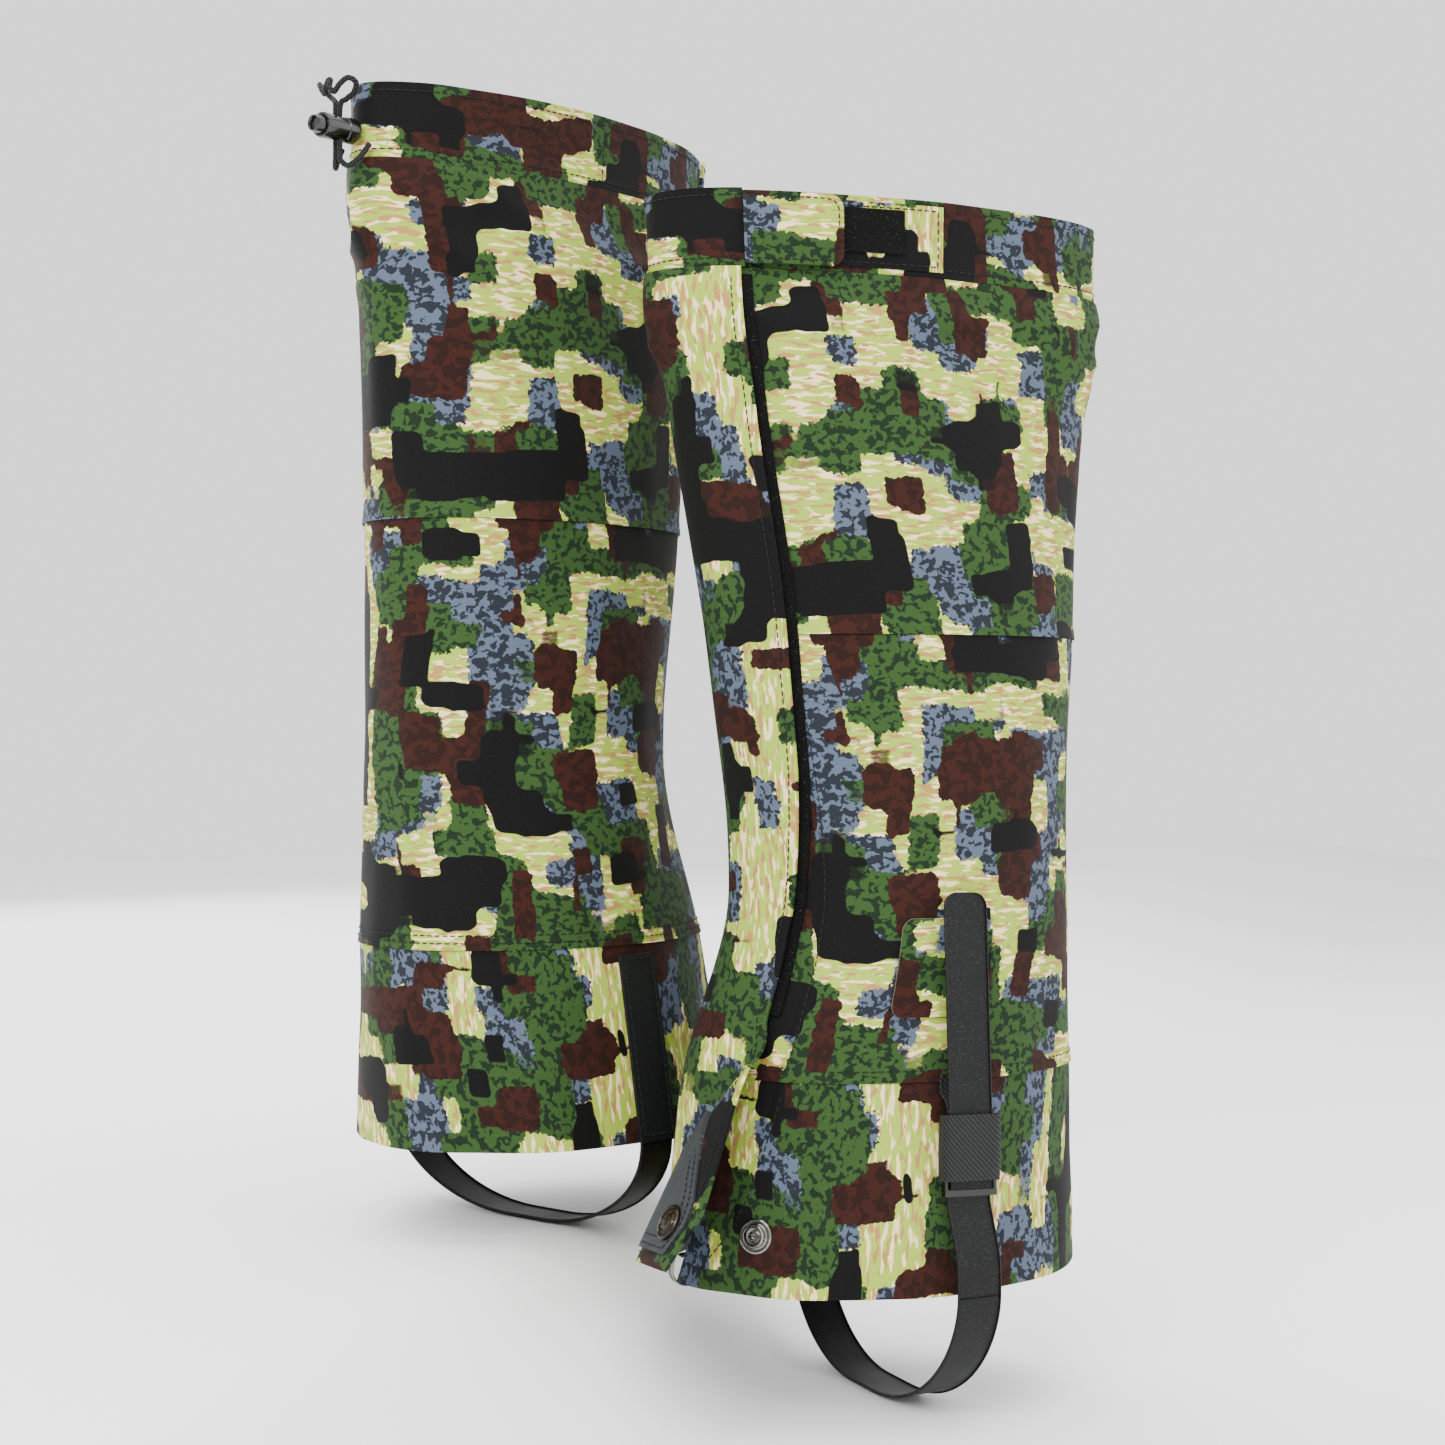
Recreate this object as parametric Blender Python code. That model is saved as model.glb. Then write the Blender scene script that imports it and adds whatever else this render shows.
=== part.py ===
# A pair of knee-high, front-opening gaiters for hiking boots, standing side by side.
# Lengths in metres, +Z up. In one gaiter's own frame -X is the front of the leg and
# -Y is its outer side, and heights are counted up from the hem of the sleeve.
import math

import bmesh
import bpy
from mathutils import Matrix, Vector

# ---- the sleeve -------------------------------------------------------------
SLEEVE_HEIGHT = 0.449
LEG_LENGTH = 0.200
LEG_WIDTH = 0.145
# share of the height, share of the length, share of the width, shift to the back
HEM_LEVEL = (0.0, 0.90, 1.0, -0.003)
INSTEP_LEVEL = (0.189, 0.84, 0.869, 0.0045)
ANKLE_LEVEL = (0.36, 0.73, 0.79, 0.0135)
CALF_LEVEL = (0.595, 0.82, 0.726, 0.010)
UPPER_LEVEL = (0.80, 0.94, 0.621, 0.0045)
COLLAR_LEVEL = (0.929, 1.02, 0.497, 0.004)
RIM_LEVEL = (1.0, 1.03, 0.524, 0.003)
LEVELS = (HEM_LEVEL, INSTEP_LEVEL, ANKLE_LEVEL, CALF_LEVEL, UPPER_LEVEL, COLLAR_LEVEL, RIM_LEVEL)

CLOTH = 0.0014
TAPE = 0.0009
AIR = 0.0004
SEAM_GAP = 0.0006
COLUMN_ANGLE = 9.0
LADDER_STEPS = 16

# ---- how the two gaiters stand ---------------------------------------------
PAIR_SPREAD = 0.057
PAIR_DEPTH = 0.0545
PAIR_RISE = 0.050
PAIR_HEADING = -154.0

# ---- the front opening (angles round the leg, 0 at the front, 90 at the outer side)
ROOT_ANGLE = -23.0
HINGE_LIFT = 0.0025
FLAP_RISE_ANGLE = 18.0
SNAP_LOW_ANGLE = -12.0
SNAP_HIGH_ANGLE = 27.0
SNAP_LOW = 0.005
SNAP_HIGH = 0.109
SNAP_OPEN = 45.0
STUD_ANGLE = 34.5
STUD_HEIGHT = 0.0235
SNAP_RADIUS = 0.0075

# ---- collar -------------------------------------------------------------------
TAB_HEIGHT = 0.029
TAB_TIP_ANGLE = 68.5
TAB_BASE_ANGLE = 41.5
LANDING_END_ANGLE = 94.8
TAB_CORNER = 0.006

# ---- instep strap and buckle --------------------------------------------------
STRAP_WIDTH = 0.020
STRAP_THICK = 0.0016
LEFT_LOOP_DROP = 0.056
RIGHT_LOOP_DROP = 0.041
STRAP_X = 0.005
BUCKLE_HEIGHT = 0.059
BUCKLE_STAND = 0.0066
BUCKLE_LEAN = 0.105
TAIL_RISE = 0.103
KEEPER_SIDE = 0.0032
KEEPER_HEIGHT = 0.0265
KEEPER_WALL = 0.0009
FRAME_THICK = 0.0030
FRAME_HEIGHT = 0.017
PATCH_SIZE = 0.040

# ---- drawcord and its lock -------------------------------------------------------
CORD_DIAMETER = 0.0024
CORD_PLAY = 0.0002
LOCK_LENGTH = 0.0185
LOCK_WALL = 0.0013
LOCK_PLAY = 0.0003
LOCK_STAND = 0.0125
LEFT_LOCK_ANGLE = 205.0
RIGHT_LOCK_ANGLE = 180.0
LOCK_HEIGHT = 0.428
PRESS = 0.0035

CLOTH_OUT = CLOTH
HOOK_IN = CLOTH + AIR
HOOK_OUT = HOOK_IN + TAPE
LOOP_IN = HOOK_OUT + AIR
LOOP_OUT = LOOP_IN + TAPE
FLAP_IN = LOOP_OUT + AIR
FLAP_OUT = FLAP_IN + CLOTH
TAB_HOOK_IN = HOOK_OUT + AIR
TAB_HOOK_OUT = TAB_HOOK_IN + TAPE
TAB_LOOP_IN = TAB_HOOK_OUT + AIR
TAB_LOOP_OUT = TAB_LOOP_IN + TAPE
TAB_IN = TAB_LOOP_OUT + AIR
TAB_OUT = TAB_IN + CLOTH


def clear_scene():
    for old in list(bpy.data.objects):
        bpy.data.objects.remove(old, do_unlink=True)


def level_values(column, height):
    """Smooth value of one column of the level table at a height above the hem."""
    heights = [level[0] * SLEEVE_HEIGHT for level in LEVELS]
    values = [level[column] for level in LEVELS]
    count = len(heights)
    rises = [(values[k + 1] - values[k]) / (heights[k + 1] - heights[k]) for k in range(count - 1)]
    slopes = [rises[0]]
    for k in range(1, count - 1):
        steady = rises[k - 1] * rises[k] > 0
        slopes.append(2 * rises[k - 1] * rises[k] / (rises[k - 1] + rises[k]) if steady else 0.0)
    slopes.append(rises[-1])
    k = 0
    while k < count - 2 and height > heights[k + 1]:
        k += 1
    span = heights[k + 1] - heights[k]
    s = (height - heights[k]) / span
    if s < 0 or s > 1:
        edge = 0 if s < 0 else 1
        return values[k + edge] + slopes[k + edge] * (height - heights[k + edge])
    return (values[k] * (2 * s ** 3 - 3 * s ** 2 + 1) + values[k + 1] * (3 * s ** 2 - 2 * s ** 3)
            + span * (slopes[k] * (s ** 3 - 2 * s ** 2 + s) + slopes[k + 1] * (s ** 3 - s ** 2)))


def ladder_value(column, height):
    """Level value that runs straight between shared ladder heights, so stacked layers never cross."""
    rung = SLEEVE_HEIGHT / LADDER_STEPS
    below = math.floor(height / rung + 1e-9)
    share = height / rung - below
    return level_values(column, below * rung) * (1 - share) + level_values(column, (below + 1) * rung) * share


def ladder_rows(low, high):
    """Heights of a sheet's rows: its two edges and every ladder height between them."""
    rung = SLEEVE_HEIGHT / LADDER_STEPS
    inside = [k * rung for k in range(LADDER_STEPS + 1) if low + rung / 16 < k * rung < high - rung / 16]
    return [low, *inside, high]


def with_rungs(rows):
    """The same rows with every ladder height between them added, so the sheet follows the one below it."""
    rung = SLEEVE_HEIGHT / LADDER_STEPS
    rungs = [k * rung for k in range(LADDER_STEPS + 1) if rows[0] < k * rung < rows[-1]]
    spaced = [r for r in rungs if min(abs(r - row) for row in rows) > 0.0002]
    return sorted(rows + spaced)


def leg_point(height, angle, lift):
    """Point of the sleeve at a height above the hem, an angle and a distance off the cloth's inside."""
    half_length = ladder_value(1, height) * LEG_LENGTH / 2
    half_width = ladder_value(2, height) * LEG_WIDTH / 2
    shift = ladder_value(3, height)
    turn = math.radians(angle)
    normal = Vector((-math.cos(turn) / half_length, -math.sin(turn) / half_width, 0)).normalized()
    base = Vector((shift - half_length * math.cos(turn), -half_width * math.sin(turn), HEM_Z + height))
    return base + normal * lift


def angle_at_x(height, x):
    """Angle on the outer side where the sleeve crosses a given X."""
    half_length = ladder_value(1, height) * LEG_LENGTH / 2
    return math.degrees(math.acos((ladder_value(3, height) - x) / half_length))


HEM_Z = LEFT_LOOP_DROP


def surface_frame(height, angle, lift):
    """Placing matrix on the sleeve: local X across, local Y up the cloth, local Z outward."""
    origin = leg_point(height, angle, lift)
    up = (leg_point(height + 0.004, angle, lift) - leg_point(height - 0.004, angle, lift)).normalized()
    across = (leg_point(height, angle + 2, lift) - leg_point(height, angle - 2, lift)).normalized()
    out = across.cross(up).normalized()
    across = up.cross(out)
    frame = Matrix((across, up, out)).transposed().to_4x4()
    frame.translation = origin
    return frame


def between(pairs):
    """Straight-line interpolation through (height, value) pairs."""
    def value(height):
        if height <= pairs[0][0]:
            return pairs[0][1]
        for low, high in zip(pairs, pairs[1:]):
            if height <= high[0]:
                share = (height - low[0]) / (high[0] - low[0])
                return low[1] + (high[1] - low[1]) * share
        return pairs[-1][1]
    return value


def evenly(low, high, count):
    return [low + (high - low) * k / count for k in range(count + 1)]


def shell(heights, start, end, inner, outer):
    """Closed sheet wrapped on the leg between two edge angles, with inner and outer lifts.

    Its columns stand at angles shared by every sheet, cut off at the sheet's own edges.
    """
    first = min(start(h) for h in heights)
    last = max(end(h) for h in heights)
    shared = [k * COLUMN_ANGLE for k in range(math.ceil(first / COLUMN_ANGLE), math.floor(last / COLUMN_ANGLE) + 1)]
    columns = len(shared) + 1
    points = []
    for lift in (inner, outer):
        for height in heights:
            for angle in [first, *shared, last]:
                angle = min(max(angle, start(height)), end(height))
                points.append(leg_point(height, angle, lift(angle)))
    wide = columns + 1
    layer = wide * len(heights)
    faces = []
    for row in range(len(heights) - 1):
        for k in range(columns):
            a = row * wide + k
            faces.append((a, a + 1, a + 1 + wide, a + wide))
            faces.append((a + layer, a + layer + wide, a + layer + 1 + wide, a + layer + 1))
    for row in range(len(heights) - 1):
        for a in (row * wide, row * wide + columns):
            faces.append((a, a + wide, a + wide + layer, a + layer))
    for k in range(columns):
        for a in (k, (len(heights) - 1) * wide + k):
            faces.append((a, a + 1, a + 1 + layer, a + layer))
    return points, faces


def same(value):
    return lambda anything: value


def loft(sections, closed=False):
    """Skin through equal rings of points; ends are capped unless the loft closes on itself."""
    points = [p for ring in sections for p in ring]
    size = len(sections[0])
    faces = []
    last = len(sections) if closed else len(sections) - 1
    for row in range(last):
        low = row * size
        high = ((row + 1) % len(sections)) * size
        for k in range(size):
            n = (k + 1) % size
            faces.append((low + k, low + n, high + n, high + k))
    if not closed:
        faces.append(tuple(range(size)))
        faces.append(tuple(range((len(sections) - 1) * size, len(sections) * size)))
    return points, faces


def ribbon(path, across, width, thick):
    """Flat strap bent along a path; its width runs along one fixed direction."""
    across = Vector(across).normalized()
    rings = []
    for k, point in enumerate(path):
        before = path[max(k - 1, 0)]
        after = path[min(k + 1, len(path) - 1)]
        along = (after - before).normalized()
        normal = along.cross(across).normalized()
        side = across * width / 2
        lift = normal * thick / 2
        rings.append((point - side - lift, point + side - lift, point + side + lift, point - side + lift))
    return loft(rings)


def prism(outline, low, high, frame):
    """Flat plate: an outline in the frame's X and Y carried from one local Z to another."""
    rings = [[frame @ Vector((x, y, z)) for x, y in outline] for z in (low, high)]
    return loft(rings)


def rounded_end(width, low, high, radius):
    """Outline of a strip whose upper end has rounded corners."""
    outline = [(-width / 2, low), (width / 2, low)]
    for k in range(5):
        turn = math.radians(90 * k / 4)
        outline.append((width / 2 - radius + radius * math.cos(turn), high - radius + radius * math.sin(turn)))
    for k in range(5):
        turn = math.radians(90 + 90 * k / 4)
        outline.append((-width / 2 + radius + radius * math.cos(turn), high - radius + radius * math.sin(turn)))
    return outline


def sleeve_box(frame, half_width, back, front, wall, low, high):
    """Flat open sleeve: a rectangular tube running along the frame's Y."""
    def ring(inset, y):
        corners = ((-half_width + inset, back + inset), (half_width - inset, back + inset),
                   (half_width - inset, front - inset), (-half_width + inset, front - inset))
        return [frame @ Vector((x, y, z)) for x, z in corners]
    return loft([ring(0, low), ring(0, high), ring(wall, high), ring(wall, low)], closed=True)


def slotted_plate(frame, columns, rows, holes, low, high):
    """Plate cut by rectangular slots: columns and rows are break lines, holes are missing cells."""
    mesh = bmesh.new()
    grid = {}
    for level in (low, high):
        for i, x in enumerate(columns):
            for j, y in enumerate(rows):
                grid[(i, j, level)] = mesh.verts.new(frame @ Vector((x, y, level)))
    cells = {(i, j) for i in range(len(columns) - 1) for j in range(len(rows) - 1)} - set(holes)
    for i, j in cells:
        for level in (low, high):
            mesh.faces.new([grid[(i + a, j + b, level)] for a, b in ((0, 0), (1, 0), (1, 1), (0, 1))])
        for di, dj, a, b in ((-1, 0, (0, 0), (0, 1)), (1, 0, (1, 0), (1, 1)),
                             (0, -1, (0, 0), (1, 0)), (0, 1, (0, 1), (1, 1))):
            if (i + di, j + dj) not in cells:
                p = (i + a[0], j + a[1])
                q = (i + b[0], j + b[1])
                mesh.faces.new([grid[(*p, low)], grid[(*q, low)], grid[(*q, high)], grid[(*p, high)]])
    mesh.verts.index_update()
    points = [v.co.copy() for v in mesh.verts]
    faces = [tuple(v.index for v in face.verts) for face in mesh.faces]
    mesh.free()
    return points, faces


def lathe(profile, frame, sides=16):
    """Turned piece: (radius, local Z) pairs about the frame's Z, starting and ending on the axis."""
    points = [frame @ Vector((0, 0, profile[0][1]))]
    for radius, z in profile[1:-1]:
        for k in range(sides):
            turn = 2 * math.pi * k / sides
            points.append(frame @ Vector((radius * math.cos(turn), radius * math.sin(turn), z)))
    points.append(frame @ Vector((0, 0, profile[-1][1])))
    rings = len(profile) - 2
    faces = []
    for k in range(sides):
        n = (k + 1) % sides
        faces.append((0, 1 + n, 1 + k))
        for row in range(rings - 1):
            a = 1 + row * sides
            faces.append((a + k, a + n, a + sides + n, a + sides + k))
        top = 1 + (rings - 1) * sides
        faces.append((top + k, top + n, len(points) - 1))
    return points, faces


def turned_ring(profile, frame, sides=16):
    """Turned ring whose (radius, local Z) section closes on itself."""
    rings = []
    for k in range(sides):
        turn = 2 * math.pi * k / sides
        rings.append([frame @ Vector((r * math.cos(turn), r * math.sin(turn), z)) for r, z in profile])
    return loft(rings, closed=True)


def make_material(name, colour, roughness, metallic=0.0):
    material = bpy.data.materials.new(name)
    material.use_nodes = True
    shader = material.node_tree.nodes["Principled BSDF"]
    shader.inputs["Base Color"].default_value = (*colour, 1)
    shader.inputs["Roughness"].default_value = roughness
    shader.inputs["Metallic"].default_value = metallic
    return material


def add_body(name, shape, look, root, pivot=(0, 0, 0), turn=None):
    """One closed body under the gaiter's empty, with its origin at the pivot."""
    points, faces = shape
    pivot = Vector(pivot)
    mesh = bpy.data.meshes.new(name)
    mesh.from_pydata([p - pivot for p in points], [], faces)
    work = bmesh.new()
    work.from_mesh(mesh)
    bmesh.ops.remove_doubles(work, verts=work.verts, dist=1e-6)
    bmesh.ops.recalc_face_normals(work, faces=work.faces)
    work.to_mesh(mesh)
    work.free()
    mesh.materials.append(make_material(name + "_look", *look))
    body = bpy.data.objects.new(name, mesh)
    bpy.context.collection.objects.link(body)
    body.location = pivot
    if turn is not None:
        body.rotation_mode = "QUATERNION"
        body.rotation_quaternion = turn.to_quaternion()
    body.parent = root
    return body


def carve(body, cutters):
    """Cut closed tool shapes, given in the gaiter's frame, out of one body."""
    made = []
    for points, faces in cutters:
        mesh = bpy.data.meshes.new("cutter")
        mesh.from_pydata([p - body.location for p in points], [], faces)
        work = bmesh.new()
        work.from_mesh(mesh)
        bmesh.ops.recalc_face_normals(work, faces=work.faces)
        work.to_mesh(mesh)
        work.free()
        tool = bpy.data.objects.new("cutter", mesh)
        bpy.context.collection.objects.link(tool)
        tool.location = body.location
        tool.parent = body.parent
        cut = body.modifiers.new("cut", "BOOLEAN")
        cut.operation = "DIFFERENCE"
        cut.solver = "EXACT"
        cut.object = tool
        made.append(tool)
    bpy.context.view_layer.update()
    graph = bpy.context.evaluated_depsgraph_get()
    finished = bpy.data.meshes.new_from_object(body.evaluated_get(graph))
    body.modifiers.clear()
    body.data = finished
    for tool in made:
        bpy.data.objects.remove(tool, do_unlink=True)


CAMO = ((0.36, 0.43, 0.20), 0.75)
CAMO_DARK = ((0.10, 0.15, 0.07), 0.8)
BLACK_TAPE = ((0.012, 0.012, 0.012), 0.95)
STRAP = ((0.022, 0.022, 0.022), 0.6)
WEB = ((0.010, 0.010, 0.010), 0.85)
PLASTIC = ((0.008, 0.008, 0.008), 0.25)
LEATHER = ((0.085, 0.090, 0.092), 0.7)
BRIGHT = ((0.75, 0.74, 0.72), 0.2, 1.0)
ANTIQUE = ((0.10, 0.085, 0.07), 0.3, 1.0)


def flap_lift(extra):
    """Lift of a flap layer: it starts low at the root seam and rises over the tapes."""
    def lift(angle):
        share = min(max((angle - ROOT_ANGLE) / FLAP_RISE_ANGLE, 0), 1)
        share = share * share * (3 - 2 * share)
        return HOOK_IN + (FLAP_IN - HOOK_IN) * share + extra
    return lift


def build_gaiter(prefix, root, loop_drop, lock_angle):
    collar = COLLAR_LEVEL[0] * SLEEVE_HEIGHT
    calf = CALF_LEVEL[0] * SLEEVE_HEIGHT
    instep = INSTEP_LEVEL[0] * SLEEVE_HEIGHT
    rim = SLEEVE_HEIGHT
    # the front edge of the body under the flap, and the free edge of the flap
    body_edge = between([(0, 4), (0.25 * instep, 8), (instep, 8), (1.9 * instep, 6), (rim, 10)])
    snap_line = between([(SNAP_LOW, SNAP_LOW_ANGLE), (SNAP_HIGH, SNAP_HIGH_ANGLE)])
    free_edge = between([(SNAP_LOW, SNAP_LOW_ANGLE), (SNAP_HIGH, SNAP_HIGH_ANGLE), (0.32 * rim, 28.5),
                         (0.42 * rim, 32.8), (0.47 * rim, 34.8), (0.70 * rim, 38.2), (0.87 * rim, 39.2), (rim, 41)])
    wrap_end = same(360 + ROOT_ANGLE - 0.7)

    def panel(name, low, high, look):
        shape = shell(ladder_rows(low, high), body_edge, wrap_end, same(0.0), same(CLOTH_OUT))
        return add_body(prefix + name, shape, look, root)

    panel("foot_panel", 0, instep - SEAM_GAP / 2, CAMO)
    panel("lower_leg_panel", instep + SEAM_GAP / 2, calf - SEAM_GAP / 2, CAMO)
    panel("upper_leg_panel", calf + SEAM_GAP / 2, collar - SEAM_GAP / 2, CAMO)
    panel("collar_band", collar + SEAM_GAP / 2, rim, CAMO)

    # hook tape on the body edge, and the loop tape inside the flap
    tape_low = SNAP_HIGH + 0.002
    tape_heights = ladder_rows(tape_low, collar - 0.003)
    tape_start = lambda h: body_edge(h) + 1.5
    add_body(prefix + "hook_tape", shell(tape_heights, tape_start, lambda h: free_edge(h) + 3.5,
             same(HOOK_IN), same(HOOK_OUT)), BLACK_TAPE, root)

    # the front flap turns about a straight line through both ends of its root seam
    hinge_low = leg_point(0, ROOT_ANGLE, HINGE_LIFT)
    hinge_high = leg_point(rim, ROOT_ANGLE, HINGE_LIFT)
    flap_start = same(ROOT_ANGLE - 1)
    flap_rows = ladder_rows(SNAP_LOW, collar - SEAM_GAP / 2)
    add_body(prefix + "front_flap", shell(flap_rows, flap_start, lambda h: free_edge(h) - 0.4,
             flap_lift(0), flap_lift(CLOTH)), CAMO, root, hinge_low)
    add_body(prefix + "flap_collar", shell(ladder_rows(collar + SEAM_GAP / 2, rim), flap_start,
             same(TAB_BASE_ANGLE - 0.5), flap_lift(0), flap_lift(CLOTH)), CAMO, root, hinge_low)
    add_body(prefix + "loop_tape", shell(tape_heights, tape_start, lambda h: free_edge(h) - 1.6,
             same(LOOP_IN), same(LOOP_OUT)), BLACK_TAPE, root, hinge_low)

    # the lower corner of the flap folds about a slanting line and snaps onto the foot panel
    corner_low = leg_point(SNAP_LOW, SNAP_LOW_ANGLE, FLAP_IN)
    corner_high = leg_point(SNAP_HIGH, SNAP_HIGH_ANGLE, FLAP_IN)
    fold_point = leg_point((SNAP_LOW + SNAP_HIGH) / 2, (SNAP_LOW_ANGLE + SNAP_HIGH_ANGLE) / 2, FLAP_IN + CLOTH / 2)
    fold_axis = (corner_low - corner_high).normalized()
    opened = Matrix.Rotation(math.radians(SNAP_OPEN), 3, fold_axis)
    snap_edge = between([(SNAP_LOW, 42), (0.03, 46.5), (0.06, 41), (SNAP_HIGH, SNAP_HIGH_ANGLE + 1)])
    snap_rows = evenly(SNAP_LOW, SNAP_HIGH - 0.008, 6)
    snap_lift = same(FLAP_IN)
    add_body(prefix + "snap_flap", shell(snap_rows, lambda h: snap_line(h) + 0.6, snap_edge,
             snap_lift, same(FLAP_OUT)), CAMO, root, fold_point, opened)
    patch_edge = between([(0.011, 38.5), (0.024, 42.5), (0.034, 42), (0.074, 22)])
    add_body(prefix + "snap_patch", shell(evenly(0.011, 0.070, 4), lambda h: snap_line(h) + 3.5, patch_edge,
             same(FLAP_OUT + AIR / 2), same(FLAP_OUT + AIR / 2 + TAPE)), LEATHER, root, fold_point, opened)
    seat = FLAP_OUT + AIR / 2 + TAPE
    cap_frame = surface_frame(STUD_HEIGHT, STUD_ANGLE, seat)
    r = SNAP_RADIUS
    add_body(prefix + "snap_cap", lathe([(0, 0.0006), (0.95 * r, 0.0006), (r, 0.0011), (0.97 * r, 0.0019),
             (0.8 * r, 0.0023), (0.72 * r, 0.0020), (0, 0.0024)], cap_frame), ANTIQUE, root, fold_point, opened)
    socket_frame = surface_frame(STUD_HEIGHT, STUD_ANGLE, FLAP_IN)
    add_body(prefix + "snap_socket", turned_ring([(0.64 * r, -0.0005), (0.86 * r, -0.0005), (0.86 * r, -0.0016),
             (0.80 * r, -0.0022), (0.68 * r, -0.0022), (0.64 * r, -0.0018)], socket_frame),
             BRIGHT, root, fold_point, opened)
    stud_frame = surface_frame(STUD_HEIGHT, STUD_ANGLE, CLOTH)
    add_body(prefix + "snap_stud", lathe([(0, 0.0005), (0.94 * r, 0.0005), (0.94 * r, 0.0010), (0.62 * r, 0.0012),
             (0.55 * r, 0.0020), (0.60 * r, 0.0028), (0.58 * r, 0.0036), (0.46 * r, 0.0037), (0.42 * r, 0.0024),
             (0.27 * r, 0.0024), (0.26 * r, 0.0034), (0.17 * r, 0.0034), (0.15 * r, 0.0016), (0, 0.0016)],
             stud_frame), BRIGHT, root)

    # lace hook: a metal strip riveted inside the flap's lowest point and curled like a ring
    hook_angle = -3.0
    hook_frame = surface_frame(SNAP_LOW, hook_angle, 0)
    strip = [hook_frame @ Vector((0, y, 0.0012)) for y in (0.016, 0.008, 0.002)]
    for k in range(13):
        turn = math.radians(25 * k)
        strip.append(hook_frame @ Vector((0, -0.002 - 0.0062 * math.sin(turn), -0.0050 + 0.0062 * math.cos(turn))))
    across = hook_frame.to_3x3() @ Vector((1, 0, 0))
    add_body(prefix + "lace_hook", ribbon(strip, across, 0.005, 0.0009), BRIGHT, root, hinge_low)

    # collar closure: landing panel and hook patch on the body, tab and its loop patch on the flap
    tab_low = collar + (rim - collar - TAB_HEIGHT) / 2
    tab_rows = with_rungs(evenly(tab_low, tab_low + TAB_HEIGHT, 8))
    landing = with_rungs(evenly(tab_low + 0.001, tab_low + TAB_HEIGHT - 0.001, 2))
    add_body(prefix + "collar_landing", shell(landing, same(TAB_BASE_ANGLE + 1), same(LANDING_END_ANGLE),
             same(HOOK_IN), same(HOOK_OUT)), CAMO_DARK, root)
    patch_rows = with_rungs(evenly(tab_low + 0.007, tab_low + TAB_HEIGHT - 0.004, 2))
    add_body(prefix + "collar_hook_patch", shell(patch_rows, same(TAB_BASE_ANGLE + 8), same(TAB_TIP_ANGLE + 16),
             same(TAB_HOOK_IN), same(TAB_HOOK_OUT)), BLACK_TAPE, root)

    def tab_end(height):
        """The tab's tip has corners rounded to TAB_CORNER."""
        edge = min(height - tab_low, tab_low + TAB_HEIGHT - height)
        if edge >= TAB_CORNER:
            return TAB_TIP_ANGLE
        cut = TAB_CORNER - math.sqrt(max(TAB_CORNER ** 2 - (TAB_CORNER - edge) ** 2, 0))
        return TAB_TIP_ANGLE - math.degrees(cut / (LEG_LENGTH / 2))

    tab_hinge = leg_point(rim, TAB_BASE_ANGLE, TAB_IN)
    add_body(prefix + "collar_tab", shell(tab_rows, same(TAB_BASE_ANGLE + 0.3), tab_end,
             same(TAB_IN), same(TAB_OUT)), CAMO, root, tab_hinge)
    add_body(prefix + "tab_loop_patch", shell(patch_rows, same(TAB_BASE_ANGLE + 9), same(TAB_TIP_ANGLE - 2.5),
             same(TAB_LOOP_IN), same(TAB_LOOP_OUT)), BLACK_TAPE, root, tab_hinge)

    # the buckle's own frame leans in with the leg: X across, Y up along the strap, Z outward
    seat = leg_point(BUCKLE_HEIGHT, angle_at_x(BUCKLE_HEIGHT, STRAP_X), CLOTH + BUCKLE_STAND)
    up = Vector((0.03, BUCKLE_LEAN, 1)).normalized()
    out = Vector((1, 0, 0)).cross(up).normalized()
    buckle = Matrix((up.cross(out), up, out)).transposed().to_4x4()
    buckle.translation = seat
    half = STRAP_WIDTH / 2 + KEEPER_SIDE
    top = KEEPER_HEIGHT / 2
    frame_back = -0.5 * FRAME_THICK - 0.0016
    tail_back = frame_back + FRAME_THICK + AIR
    tail_front = tail_back + STRAP_THICK
    pivot = buckle @ Vector((0, top, frame_back))
    keeper_back = frame_back - AIR - KEEPER_WALL
    keeper_front = tail_front + 2 * AIR + KEEPER_WALL
    add_body(prefix + "buckle_keeper", sleeve_box(buckle, half, keeper_back, keeper_front, KEEPER_WALL,
             -top, top), WEB, root, pivot)
    inside = half - KEEPER_WALL - AIR
    low = -top - 0.0062
    bar = 0.0028
    slot = (FRAME_HEIGHT - 3 * bar) / 2
    rows = [low, low + bar, low + bar + slot, low + 2 * bar + slot, low + 2 * bar + 2 * slot, low + FRAME_HEIGHT]
    add_body(prefix + "buckle_frame", slotted_plate(buckle, [-inside, -inside + bar, inside - bar, inside], rows,
             [(1, 1), (1, 3)], frame_back, frame_back + FRAME_THICK), PLASTIC, root, pivot)

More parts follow.
